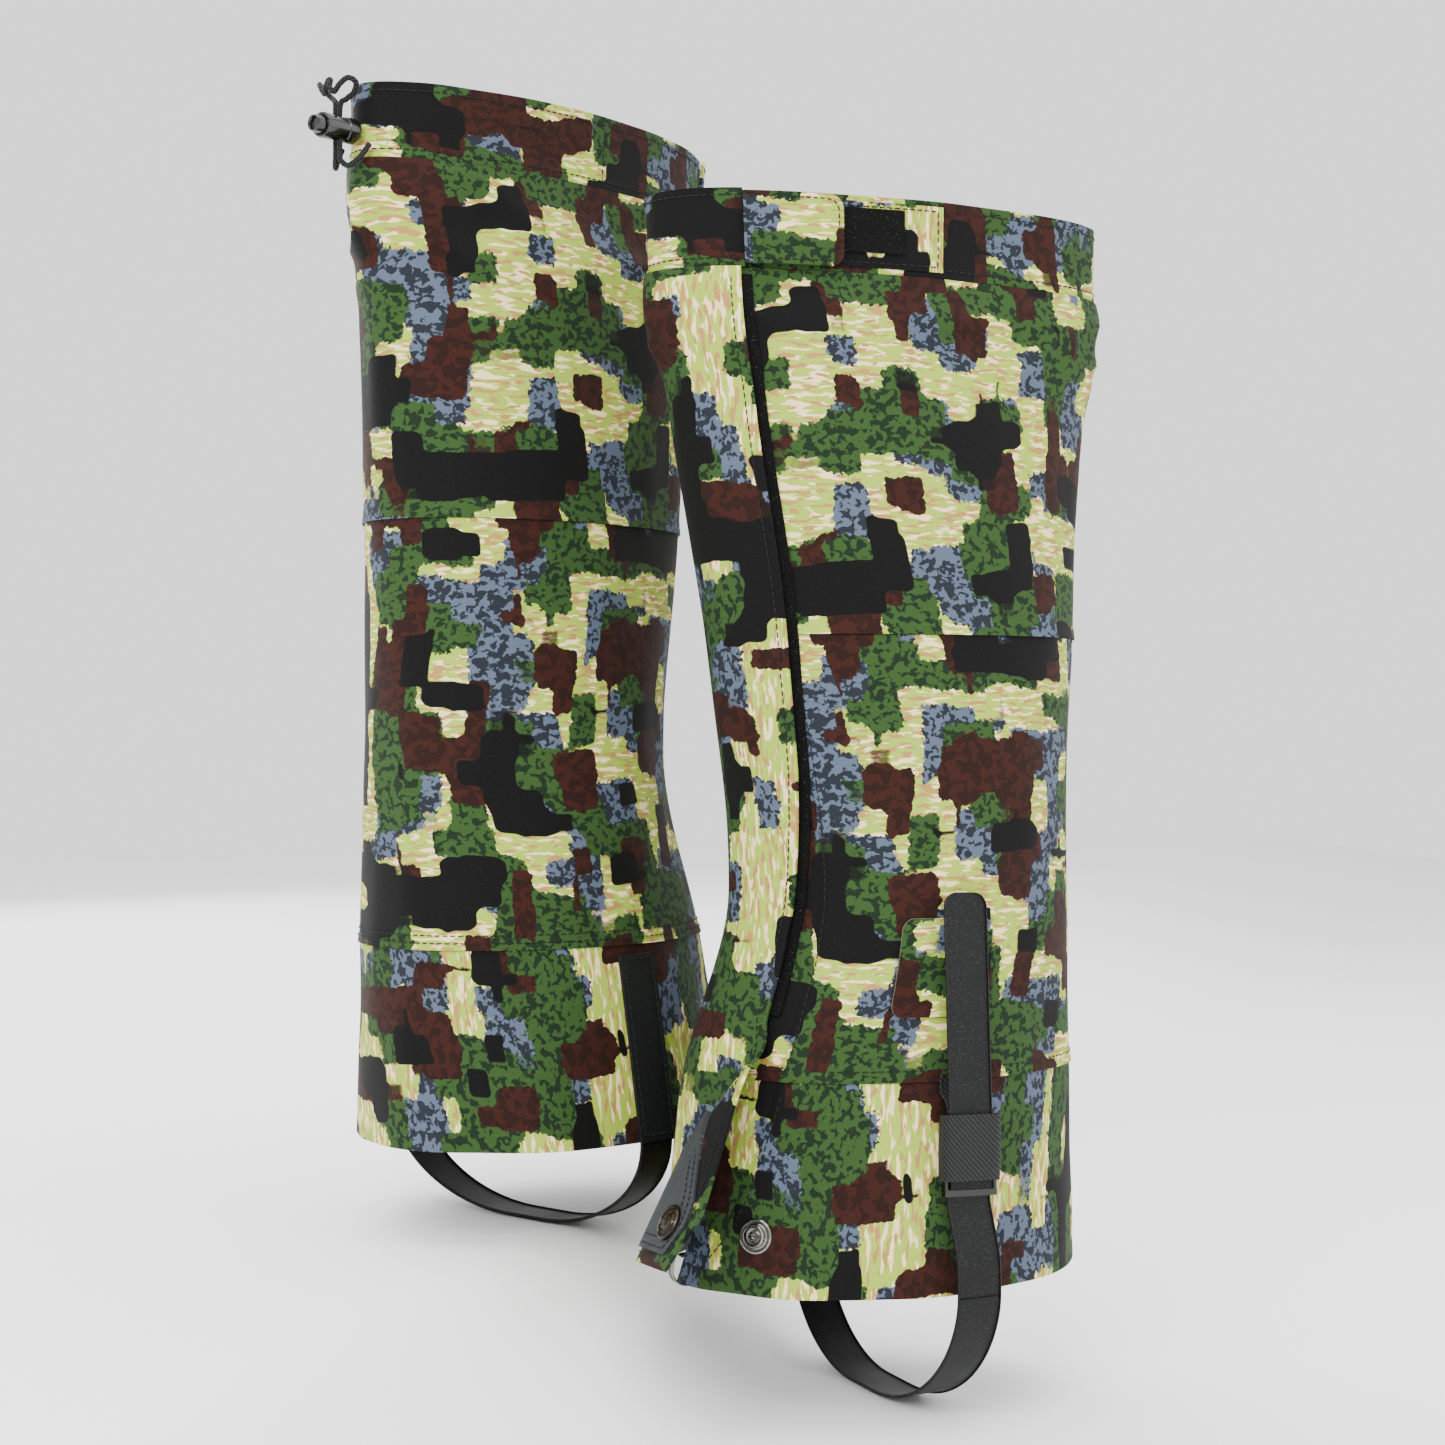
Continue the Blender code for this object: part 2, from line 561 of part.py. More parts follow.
    # anchor webbing from the seam down to the buckle, patch behind the tail, and the tail itself
    frame_top = low + FRAME_HEIGHT
    anchor_mid = frame_back + FRAME_THICK / 2
    anchor_path = [buckle @ Vector((0, frame_top + AIR, anchor_mid)), buckle @ Vector((0, top + 0.003, anchor_mid))]
    seam_angle = angle_at_x(instep, STRAP_X)
    anchor_path.append(leg_point(instep - 0.004, seam_angle, CLOTH + AIR + 0.0012))
    anchor_path.append(leg_point(instep + 0.004, seam_angle, CLOTH + AIR + 0.0010))
    add_body(prefix + "buckle_anchor", ribbon(anchor_path, (1, 0, 0), STRAP_WIDTH - 0.001, 0.0011), WEB, root)
    tail = rounded_end(STRAP_WIDTH, -top - 0.0035, TAIL_RISE, STRAP_WIDTH * 0.3)
    add_body(prefix + "strap_tail", prism(tail, tail_back, tail_front, buckle), STRAP, root, pivot)
    mid = BUCKLE_HEIGHT + 0.072
    patch_mid = angle_at_x(mid, 0.0) + 1.0
    reach = math.degrees(PATCH_SIZE / LEG_LENGTH / ANKLE_LEVEL[1] / 1.04)

    def patch_side(sign):
        def side(height):
            edge = min(height - mid + PATCH_SIZE / 2, mid + PATCH_SIZE / 2 - height)
            corner = 0.005
            cut = 0.0 if edge >= corner else corner - math.sqrt(max(corner ** 2 - (corner - edge) ** 2, 0))
            return patch_mid + sign * reach * (1 - 2 * cut / PATCH_SIZE)
        return side

    add_body(prefix + "tail_patch", shell(evenly(mid - PATCH_SIZE / 2, mid + PATCH_SIZE / 2, 8), patch_side(-1),
             patch_side(1), same(HOOK_IN), same(HOOK_OUT)), CAMO_DARK, root)

    # the strap: riser outside, loop under the boot, sewn end on the inner side
    riser_out = BUCKLE_STAND * 0.9
    outer_y = leg_point(0, 90, 0).y
    inner_y = leg_point(0, 270, 0).y
    riser = [buckle @ Vector((0, low - 0.0006, frame_back + FRAME_THICK / 2)),
             Vector((STRAP_X, outer_y - riser_out - 0.0015, HEM_Z + 0.018)),
             Vector((STRAP_X, outer_y - riser_out - 0.003, HEM_Z + 0.008)),
             Vector((STRAP_X, outer_y - riser_out - 0.003, HEM_Z + 0.0005))]
    add_body(prefix + "strap_riser", ribbon(riser, (1, 0, 0), STRAP_WIDTH, STRAP_THICK), STRAP, root)
    inner_out = CLOTH + AIR + STRAP_THICK / 2
    bottom = HEM_Z - loop_drop + STRAP_THICK / 2
    flat_left = -0.006
    flat_right = 0.014
    loop = [Vector((STRAP_X, outer_y - riser_out - 0.003, HEM_Z))]
    for k in range(1, 9):
        turn = math.radians(90 * k / 9)
        reach_y = flat_left - (outer_y - riser_out - 0.003)
        loop.append(Vector((STRAP_X, flat_left - reach_y * math.cos(turn),
                            HEM_Z - (HEM_Z - bottom) * math.sin(turn) ** 1.15)))
    loop.append(Vector((STRAP_X, flat_left, bottom)))
    loop.append(Vector((STRAP_X, flat_right, bottom)))
    for k in range(8, 0, -1):
        turn = math.radians(90 * k / 9)
        reach_y = inner_y + inner_out - flat_right
        loop.append(Vector((STRAP_X, flat_right + reach_y * math.cos(turn),
                            HEM_Z - (HEM_Z - bottom) * math.sin(turn) ** 0.95)))
    loop.append(Vector((STRAP_X, inner_y + inner_out, HEM_Z)))
    add_body(prefix + "instep_strap", ribbon(loop, (1, 0, 0), STRAP_WIDTH, STRAP_THICK), STRAP, root)
    sewn_mid = 360 - angle_at_x(instep / 2, STRAP_X)
    sewn = math.degrees(STRAP_WIDTH / LEG_LENGTH / 0.85)
    add_body(prefix + "strap_anchor", shell(evenly(0.001, instep - 0.004, 4), same(sewn_mid - sewn),
             same(sewn_mid + sewn), same(CLOTH + AIR), same(CLOTH + AIR + STRAP_THICK)), STRAP, root)

    # drawcord out of the back of the collar, through a sprung barrel lock
    lock = lock_frame(lock_angle)
    lock_place = lock.translation
    strand = CORD_DIAMETER / 2 + CORD_PLAY / 2
    slot_y = 2 * strand + CORD_PLAY
    button = slot_y + 0.0011
    bore = button + LOCK_PLAY
    barrel = bore + LOCK_WALL
    half_path = [(-0.0098, -0.0085, -0.006), (-0.0062, -0.0072, -0.0115), (-0.0025, -0.0042, -0.0155),
                 (-0.0004, -0.0020, -0.0140), (0, -strand, -0.0115), (0, -strand, 0.0085),
                 (-0.0016, -0.0036, 0.0120), (-0.0026, -0.0072, 0.0145), (-0.0010, -0.0100, 0.0178),
                 (0.0022, -0.0088, 0.0192), (0.0040, -0.0058, 0.0168), (0.0046, -0.0030, 0.0140),
                 (0.0056, -0.0012, 0.0160), (0.0046, -0.0006, 0.0190)]
    half_path = [Vector(p) for p in half_path]
    other_half = [Vector((p.x, -p.y, p.z)) for p in reversed(half_path)]
    turned = lock.to_3x3()
    add_cord(prefix + "drawcord", [turned @ p for p in half_path + other_half], lock_place, root)
    lie = lock @ Matrix.Rotation(math.radians(90), 4, "Y")
    h = LOCK_LENGTH / 2
    body = add_body(prefix + "cord_lock_barrel", lathe([(0, -h), (barrel - 0.0006, -h), (barrel, -h + 0.0006),
                    (barrel, h - 0.0006), (barrel - 0.0005, h), (0, h)], lie), PLASTIC, root, lock_place)
    slot_x = CORD_DIAMETER / 2 + CORD_PLAY
    carve(body, [lathe([(0, -h + LOCK_WALL), (bore, -h + LOCK_WALL), (bore, h + 0.001), (0, h + 0.001)], lie),
                 block(lock, 0, (slot_x, slot_y, 2 * barrel))])
    reach = h + 0.0042
    end = -h + LOCK_WALL + PRESS + LOCK_PLAY
    ring = 0.0009
    body = add_body(prefix + "cord_lock_plunger", lathe([(0, end), (button, end), (button, reach - 0.0004),
                    (button - 0.0004, reach), (button - ring, reach), (button - ring - 0.0004, reach - 0.0012),
                    (0, reach - 0.0012)], lie), PLASTIC, root, lock_place)
    # the button's own slot is longer, so it can be pressed past the cord
    carve(body, [block(lock, PRESS / 2, (slot_x + PRESS / 2 + CORD_PLAY, slot_y, 2 * barrel))])


def lock_frame(angle):
    """Place of the barrel lock behind the collar: its length points away from the cloth."""
    rim_point = leg_point(SLEEVE_HEIGHT, angle, CLOTH)
    out = leg_point(SLEEVE_HEIGHT, angle, CLOTH + LOCK_STAND) - rim_point
    place = Vector((rim_point.x + out.x, rim_point.y + out.y, HEM_Z + LOCK_HEIGHT))
    return Matrix.Translation(place) @ Matrix.Rotation(math.atan2(out.y, out.x), 4, "Z")


def block(frame, along, half):
    points = [frame @ Vector((along + sx * half[0], sy * half[1], sz * half[2]))
              for sz in (-1, 1) for sx, sy in ((-1, -1), (1, -1), (1, 1), (-1, 1))]
    return loft([points[:4], points[4:]])


def add_cord(name, path, origin, root):
    curve = bpy.data.curves.new(name, "CURVE")
    curve.dimensions = "3D"
    curve.bevel_depth = CORD_DIAMETER / 2
    curve.bevel_resolution = 2
    curve.use_fill_caps = True
    spline = curve.splines.new("POLY")
    spline.points.add(len(path) - 1)
    for point, place in zip(spline.points, path):
        point.co = (*place, 1)
    curve.materials.append(make_material(name + "_look", *WEB))
    cord = bpy.data.objects.new(name, curve)
    bpy.context.collection.objects.link(cord)
    cord.location = origin
    cord.parent = root


def add_root(name, place, heading):
    root = bpy.data.objects.new(name, None)
    bpy.context.collection.objects.link(root)
    root.location = place
    root.rotation_euler = (0, 0, math.radians(heading))
    return root


clear_scene()
left_root = add_root("left_gaiter", (PAIR_SPREAD, -PAIR_DEPTH, 0), 0)
right_root = add_root("right_gaiter", (-PAIR_SPREAD, PAIR_DEPTH, PAIR_RISE), PAIR_HEADING)
build_gaiter("left_", left_root, LEFT_LOOP_DROP, LEFT_LOCK_ANGLE)
build_gaiter("right_", right_root, RIGHT_LOOP_DROP, RIGHT_LOCK_ANGLE)
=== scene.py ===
import math
import bmesh
import bpy
from mathutils import Matrix, Vector, noise


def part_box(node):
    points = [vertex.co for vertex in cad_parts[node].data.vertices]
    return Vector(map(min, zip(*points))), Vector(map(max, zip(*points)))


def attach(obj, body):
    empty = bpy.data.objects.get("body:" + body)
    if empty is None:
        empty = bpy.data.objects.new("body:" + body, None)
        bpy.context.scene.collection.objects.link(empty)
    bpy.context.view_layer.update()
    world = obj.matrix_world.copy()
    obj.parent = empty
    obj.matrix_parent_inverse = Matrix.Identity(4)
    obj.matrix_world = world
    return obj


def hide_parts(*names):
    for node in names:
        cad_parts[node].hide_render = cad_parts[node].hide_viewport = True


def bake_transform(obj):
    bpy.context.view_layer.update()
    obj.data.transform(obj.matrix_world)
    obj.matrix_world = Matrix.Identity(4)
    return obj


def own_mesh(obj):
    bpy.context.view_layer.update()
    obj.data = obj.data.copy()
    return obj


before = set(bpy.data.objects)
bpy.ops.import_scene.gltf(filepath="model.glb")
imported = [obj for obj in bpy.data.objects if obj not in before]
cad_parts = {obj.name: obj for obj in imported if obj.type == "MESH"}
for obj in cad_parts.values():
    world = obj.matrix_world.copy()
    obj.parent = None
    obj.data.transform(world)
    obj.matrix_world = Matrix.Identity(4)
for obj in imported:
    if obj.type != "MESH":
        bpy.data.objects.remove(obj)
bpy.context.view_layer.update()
print("frame loaded")



def link(name, data):
    made = bpy.data.objects.new(name, data)
    bpy.context.scene.collection.objects.link(made)
    return made


# sleeve shape: share of height, share of length, share of width, shift to the back
sleeve = {"height": 0.449, "length": 0.200, "width": 0.145, "hemZ": 0.056, "cloth": 0.0014,
          "collar": 0.4171, "calf": 0.2672, "instep": 0.0849,
          "levels": ((0.0, 0.90, 1.0, -0.003), (0.189, 0.84, 0.869, 0.0045), (0.36, 0.73, 0.79, 0.0135),
                     (0.595, 0.82, 0.726, 0.010), (0.80, 0.94, 0.621, 0.0045), (0.929, 1.02, 0.497, 0.004),
                     (1.0, 1.03, 0.524, 0.003))}
lockSet = {"stand": 0.0125, "height": 0.428, "length": 0.0185}


# ---------- shape of the leg
def levelCurve(column):
    # one value per millimetre of sleeve, smooth through the levels
    xs = [level[0] * sleeve["height"] for level in sleeve["levels"]]
    ys = [level[column] for level in sleeve["levels"]]
    rises = [(ys[k + 1] - ys[k]) / (xs[k + 1] - xs[k]) for k in range(len(xs) - 1)]
    slopes = [rises[0]]
    for a, b in zip(rises, rises[1:]):
        slopes.append(2 * a * b / (a + b) if a * b > 0 else 0.0)
    slopes.append(rises[-1])
    values = []
    for mm in range(-20, 471):
        x = mm / 1000
        k = max(0, min(len(xs) - 2, sum(1 for a in xs[1:] if x > a)))
        span = xs[k + 1] - xs[k]
        s = (x - xs[k]) / span
        if s < 0 or s > 1:
            e = 0 if s < 0 else 1
            values.append(ys[k + e] + slopes[k + e] * (x - xs[k + e]))
        else:
            values.append(ys[k] * (2 * s**3 - 3 * s**2 + 1) + ys[k + 1] * (3 * s**2 - 2 * s**3)
                          + span * (slopes[k] * (s**3 - 2 * s**2 + s) + slopes[k + 1] * (s**3 - s**2)))
    return values


levelCurves = [levelCurve(column) for column in (1, 2, 3)]


def levelAt(index, height):
    place = height * 1000 + 20
    k = max(0, min(len(levelCurves[index]) - 2, int(place)))
    s = place - k
    return levelCurves[index][k] * (1 - s) + levelCurves[index][k + 1] * s


def legPoint(height, angle, lift):
    a = levelAt(0, height) * sleeve["length"] / 2
    b = levelAt(1, height) * sleeve["width"] / 2
    turn = math.radians(angle)
    out = Vector((-math.cos(turn) / a, -math.sin(turn) / b, 0)).normalized()
    return Vector((levelAt(2, height) - a * math.cos(turn), -b * math.sin(turn), sleeve["hemZ"] + height)) + out * lift


def angleAtX(height, x):
    return math.degrees(math.acos((levelAt(2, height) - x) / (levelAt(0, height) * sleeve["length"] / 2)))


def lockPlace(angle):
    rimPoint = legPoint(sleeve["height"], angle, sleeve["cloth"])
    out = legPoint(sleeve["height"], angle, sleeve["cloth"] + lockSet["stand"]) - rimPoint
    spot = Vector((rimPoint.x + out.x, rimPoint.y + out.y, sleeve["hemZ"] + lockSet["height"]))
    return Matrix.Translation(spot) @ Matrix.Rotation(math.atan2(out.y, out.x), 4, "Z")


def gaiterPlace(prefix, heading, lockAngle):
    # the lock's barrel gives the place of its gaiter, whichever way it is turned
    low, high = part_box(prefix + "cord_lock_barrel")
    turn = Matrix.Rotation(math.radians(heading), 4, "Z")
    centre = (Vector(low) + Vector(high)) / 2 - turn.to_3x3() @ lockPlace(lockAngle).translation
    return Matrix.Translation(centre) @ turn


gaiters = [{"prefix": "left_", "heading": 0, "seed": 3.0, "printMiddle": 80, "loopDrop": 0.056, "lockAngle": 205},
           {"prefix": "right_", "heading": -154, "seed": 11.0, "printMiddle": 262, "loopDrop": 0.041, "lockAngle": 180}]
for gaiter in gaiters:
    gaiter["matrix"] = gaiterPlace(gaiter["prefix"], gaiter["heading"], gaiter["lockAngle"])
middle = (gaiters[0]["matrix"].translation + gaiters[1]["matrix"].translation) / 2

# camera, level and in front of the left gaiter's outer side
view = {"offset": (-0.430, -0.987, 0.287), "lookTurn": 24.0, "lens": 60.6}
camera = link("camera", bpy.data.cameras.new("camera"))
camera.location = (middle.x + view["offset"][0], middle.y + view["offset"][1], view["offset"][2])
camera.rotation_euler = (math.radians(90), 0, math.radians(-view["lookTurn"]))
camera.data.lens = view["lens"]
camera.data.sensor_width = 36
camera.data.clip_start = 0.05
bpy.context.scene.camera = camera


arcTables = {}


def arcLength(height, angle):
    # distance round the leg from its front, for laying the print out flat
    key = round(height * 200)
    if key not in arcTables:
        points = [legPoint(key / 200, t, 0) for t in range(0, 362, 2)]
        total = [0.0]
        for p, q in zip(points, points[1:]):
            total.append(total[-1] + (q - p).length)
        arcTables[key] = total
    table = arcTables[key]
    size = abs(angle)
    k = min(int(size / 2), len(table) - 2)
    length = table[k] + (table[k + 1] - table[k]) * (size / 2 - k)
    return math.copysign(length, angle)


def bump(x, middle, width):
    return math.exp(-((x - middle) / width) ** 2)


def ramp(x, low, high):
    s = min(max((x - low) / (high - low), 0), 1)
    return s * s * (3 - 2 * s)


drapeSet = {"soft": 0.0020, "fold": 0.0034, "gather": 0.0022, "hem": 0.0020}


def drape(gaiter, height, angle):
    # slow waves in the standing cloth, sharper folds under the collar, a loose hem
    t = math.radians(angle)
    seed = gaiter["seed"]
    spot = Vector((math.cos(t) * 1.6, math.sin(t) * 1.6, height * 9 + seed))
    move = drapeSet["soft"] * noise.noise(spot)
    move += drapeSet["soft"] * 0.5 * noise.noise(spot * 2.3)
    below = sleeve["collar"] - height
    if below > 0:
        crease = noise.noise(Vector((math.cos(t) * 2.5, math.sin(t) * 2.5, height * 42 + seed)))
        share = bump(below, 0.026, 0.022)
        move += drapeSet["fold"] * share * (1 - abs(crease) * 2.6)
        move += drapeSet["gather"] * bump(below, 0.012, 0.016)
    wave = noise.noise(Vector((math.cos(t) * 2.0, math.sin(t) * 2.0, seed * 2)))
    move += drapeSet["hem"] * wave * ramp(height, 0.07, 0.0) * 1.5
    return move


# ---------- meshes collected piece by piece
def newPart():
    return {"verts": [], "faces": [], "slots": [], "spots": []}


def addGrid(part, rows, slot, closedAcross=False, closedAlong=False):
    # rows of (point, spot) skinned with quads
    base = len(part["verts"])
    wide = len(rows[0])
    for row in rows:
        for point, spot in row:
            part["verts"].append(point)
            part["spots"].append(spot)
    for r in range(len(rows) if closedAlong else len(rows) - 1):
        for c in range(wide if closedAcross else wide - 1):
            a = base + r * wide + c
            b = base + r * wide + (c + 1) % wide
            up = ((r + 1) % len(rows)) - r
            part["faces"].append((a, b, b + up * wide, a + up * wide))
            part["slots"].append(slot)
    return base


def addFan(part, ring, slot):
    base = len(part["verts"])
    for point, spot in ring:
        part["verts"].append(point)
        part["spots"].append(spot)
    part["faces"].append(tuple(range(base, base + len(ring))))
    part["slots"].append(slot)


def addSheet(part, gaiter, heights, start, end, columns, inner, outer, place=None, slot=0, backSlot=1, spacing=None,
             edgeSlot=None):
    # double-faced cloth on the leg, its two faces joined by a flat strip along the edges
    place = place or legPoint
    centre = gaiter["printMiddle"]
    layers = []
    for lift in (outer, inner):
        rows = []
        for h in heights:
            a, b = start(h), end(h)
            row = []
            for k in range(columns + 1):
                s = k / columns if spacing is None else spacing[k]
                t = a + (b - a) * s
                along = arcLength(h, t) - arcLength(h, centre)
                spot = (along, h, gaiter["seed"])
                value = lift(h, t) if callable(lift) else lift
                row.append((place(h, t, value + drape(gaiter, h, t)), spot))
            rows.append(row)
        layers.append(rows)
    outerRows, innerRows = layers
    addGrid(part, outerRows, slot)
    addGrid(part, [list(reversed(row)) for row in innerRows], backSlot)
    edge = [(outerRows[0], innerRows[0]), (list(reversed(outerRows[-1])), list(reversed(innerRows[-1]))),
            ([row[-1] for row in outerRows], [row[-1] for row in innerRows]),
            ([row[0] for row in reversed(outerRows)], [row[0] for row in reversed(innerRows)])]
    for outerLine, innerLine in edge:
        addGrid(part, [innerLine, outerLine], slot if edgeSlot is None else edgeSlot)


stitchSet = {"pitch": 0.0034, "length": 0.0026, "radius": 0.00026,
             "dash": ((0.0, 0.35, -0.3), (0.16, 1.0, 0.35), (0.5, 1.1, 0.6), (0.84, 1.0, 0.35), (1.0, 0.35, -0.3))}


def addStitches(part, path, place, lift, slot, pitch=None):
    # a row of thread dashes along (height, angle) points
    dense = []
    for (h0, t0), (h1, t1) in zip(path, path[1:]):
        steps = max(1, int(math.hypot((h1 - h0) / 0.003, (t1 - t0) / 2.5)))
        dense += [(h0 + (h1 - h0) * k / steps, t0 + (t1 - t0) * k / steps) for k in range(steps)]
    dense.append(path[-1])
    points = [(place(h, t, lift), place(h, t, lift + 0.001)) for h, t in dense]
    lengths = [0.0]
    for (p, _), (q, _) in zip(points, points[1:]):
        lengths.append(lengths[-1] + (q - p).length)
    step = pitch or stitchSet["pitch"]
    dash = stitchSet["length"] * step / stitchSet["pitch"]

    def at(d):
        k = 0
        while k < len(lengths) - 2 and lengths[k + 1] < d:
            k += 1
        s = (d - lengths[k]) / max(lengths[k + 1] - lengths[k], 1e-9)
        return points[k][0].lerp(points[k + 1][0], s), (points[k][1] - points[k][0]).normalized()

    radius = stitchSet["radius"]
    position = 0.0
    while position + dash < lengths[-1]:
        first, out = at(position)
        last, _ = at(position + dash)
        along = (last - first).normalized()
        side = along.cross(out).normalized()
        rings = []
        for share, size, rise in stitchSet["dash"]:
            centre = first.lerp(last, share) + out * radius * rise
            ring = []
            for k in range(5):
                turn = 2 * math.pi * k / 5
                ring.append((centre + (side * math.cos(turn) + out * math.sin(turn)) * radius * size,
                             (position + dash * share, turn, 0)))
            rings.append(ring)
        addGrid(part, rings, slot, closedAcross=True)
        addFan(part, list(reversed(rings[0])), slot)
        addFan(part, rings[-1], slot)
        position += step


def addSweep(part, path, across, width, thick, slot, roundness=0.45, closed=False):
    # a strap: rounded flat section carried along a line, capped at both ends
    across = across.normalized()
    rings = []
    run = 0.0
    for k, point in enumerate(path):
        before = path[k - 1] if k or closed else path[0]
        after = path[(k + 1) % len(path)] if k < len(path) - 1 or closed else path[-1]
        along = (after - before).normalized()
        out = along.cross(across).normalized()
        if k:
            run += (point - path[k - 1]).length
        w, h = (width(k / (len(path) - 1)) if callable(width) else width) / 2, thick / 2
        r = min(h * 2 * roundness, h * 0.98)
        ring = []
        for x, y, sx, sy in ((w, h, 1, 1), (-w, h, -1, 1), (-w, -h, -1, -1), (w, -h, 1, -1)):
            corner = [(0, 1), (0.7, 0.7), (1, 0)]
            corner = corner if sx * sy > 0 else list(reversed(corner))
            for cx, cy in corner:
                px = x - sx * r * (1 - cx)
                py = y - sy * r * (1 - cy)
                ring.append((point + across * px + out * py, (px, run, h)))
        rings.append(ring)
    rings = [list(reversed(ring)) for ring in rings]
    addGrid(part, rings, slot, closedAcross=True, closedAlong=closed)
    if not closed:
        addFan(part, list(reversed(rings[0])), slot)
        addFan(part, rings[-1], slot)


def addTube(part, path, radius, sides, slot):
    normal = Vector((0, 1, 0.3)).normalized()
    rings = []
    run = 0.0
    for k, point in enumerate(path):
        along = (path[min(k + 1, len(path) - 1)] - path[max(k - 1, 0)]).normalized()
        normal = (normal - along * normal.dot(along)).normalized()
        side = along.cross(normal)
        if k:
            run += (point - path[k - 1]).length
        rings.append([(point + (normal * math.cos(a) + side * math.sin(a)) * radius, (a * radius, run, 0.5))
                      for a in [2 * math.pi * j / sides for j in range(sides)]])
    addGrid(part, rings, slot, closedAcross=True)
    addFan(part, list(reversed(rings[0])), slot)
    addFan(part, rings[-1], slot)


def addLathe(part, profile, matrix, slot, sides=56):
    rings = []
    for r, z in profile:
        rings.append([(matrix @ Vector((r * math.cos(a), r * math.sin(a), z)), (r * math.cos(a), r * math.sin(a), z))
                      for a in [2 * math.pi * k / sides for k in range(sides)]])
    addGrid(part, rings, slot, closedAcross=True)


def smoothLine(points, steps):
    result = []
    for k in range(len(points) - 1):
        p0, p1, p2, p3 = points[max(k - 1, 0)], points[k], points[k + 1], points[min(k + 2, len(points) - 1)]
        for j in range(steps):
            s = j / steps
            result.append(0.5 * (2 * p1 + (p2 - p0) * s + (2 * p0 - 5 * p1 + 4 * p2 - p3) * s**2
                                 + (3 * p1 - p0 - 3 * p2 + p3) * s**3))
    return result + [points[-1]]


def finishPart(name, part, gaiter, looks, sharp=35):
    mesh = bpy.data.meshes.new(name)
    mesh.from_pydata([gaiter["matrix"] @ p for p in part["verts"]], [], part["faces"])
    spots = mesh.attributes.new("clothSpot", "FLOAT_VECTOR", "POINT")
    spots.data.foreach_set("vector", [x for spot in part["spots"] for x in spot])
    for look in looks:
        mesh.materials.append(look)
    mesh.polygons.foreach_set("material_index", part["slots"])
    work = bmesh.new()
    work.from_mesh(mesh)
    bmesh.ops.remove_doubles(work, verts=work.verts, dist=2e-6)
    bmesh.ops.recalc_face_normals(work, faces=work.faces)
    work.to_mesh(mesh)
    work.free()
    mesh.polygons.foreach_set("use_smooth", [True] * len(mesh.polygons))
    mesh.set_sharp_from_angle(angle=math.radians(sharp))
    return link(name, mesh)


# ---------- node helpers
def srgb(code):
    values = [int(code[k:k + 2], 16) / 255 for k in (0, 2, 4)]
    return tuple(v / 12.92 if v <= 0.04045 else ((v + 0.055) / 1.055) ** 2.4 for v in values) + (1,)


def newGroup(name, inputs, outputs):
    group = bpy.data.node_groups.new(name, "ShaderNodeTree")
    for title, value in inputs.items():  # no value means a vector
        kind = "NodeSocketVector" if value is None else "NodeSocketFloat"
        socket = group.interface.new_socket(title, in_out="INPUT", socket_type=kind)
        if value is not None:
            socket.default_value = value
    for title in outputs:
        kind = "NodeSocketColor" if title == "Color" else "NodeSocketFloat"
        group.interface.new_socket(title, in_out="OUTPUT", socket_type=kind)
    return group, group.nodes.new("NodeGroupInput"), group.nodes.new("NodeGroupOutput")


def put(tree, kind, inputs=None, **settings):
    node = tree.nodes.new(kind)
    for key, value in settings.items():
        setattr(node, key, value)
    for key, value in (inputs or {}).items():
        if isinstance(value, bpy.types.NodeSocket):
            tree.links.new(value, node.inputs[key])
        else:
            node.inputs[key].default_value = value
    return node


def calc(tree, operation, a, b=0.0, c=0.0):
    return put(tree, "ShaderNodeMath", {0: a, 1: b, 2: c}, operation=operation).outputs[0]


def blendColour(tree, share, a, b, mode="MIX"):
    node = put(tree, "ShaderNodeMix", data_type="RGBA", blend_type=mode)
    for index, value in ((0, share), (6, a), (7, b)):
        if isinstance(value, bpy.types.NodeSocket):
            tree.links.new(value, node.inputs[index])
        else:
            node.inputs[index].default_value = value
    return node.outputs[2]


def edgeAt(tree, value, level, soft):
    node = put(tree, "ShaderNodeMapRange", {"Value": value, "To Min": 0.0, "To Max": 1.0}, interpolation_type="LINEAR")
    for key, shift in (("From Min", -soft), ("From Max", soft)):
        if isinstance(level, bpy.types.NodeSocket):
            tree.links.new(calc(tree, "ADD", level, shift), node.inputs[key])
        else:
            node.inputs[key].default_value = level + shift
    return node.outputs[0]


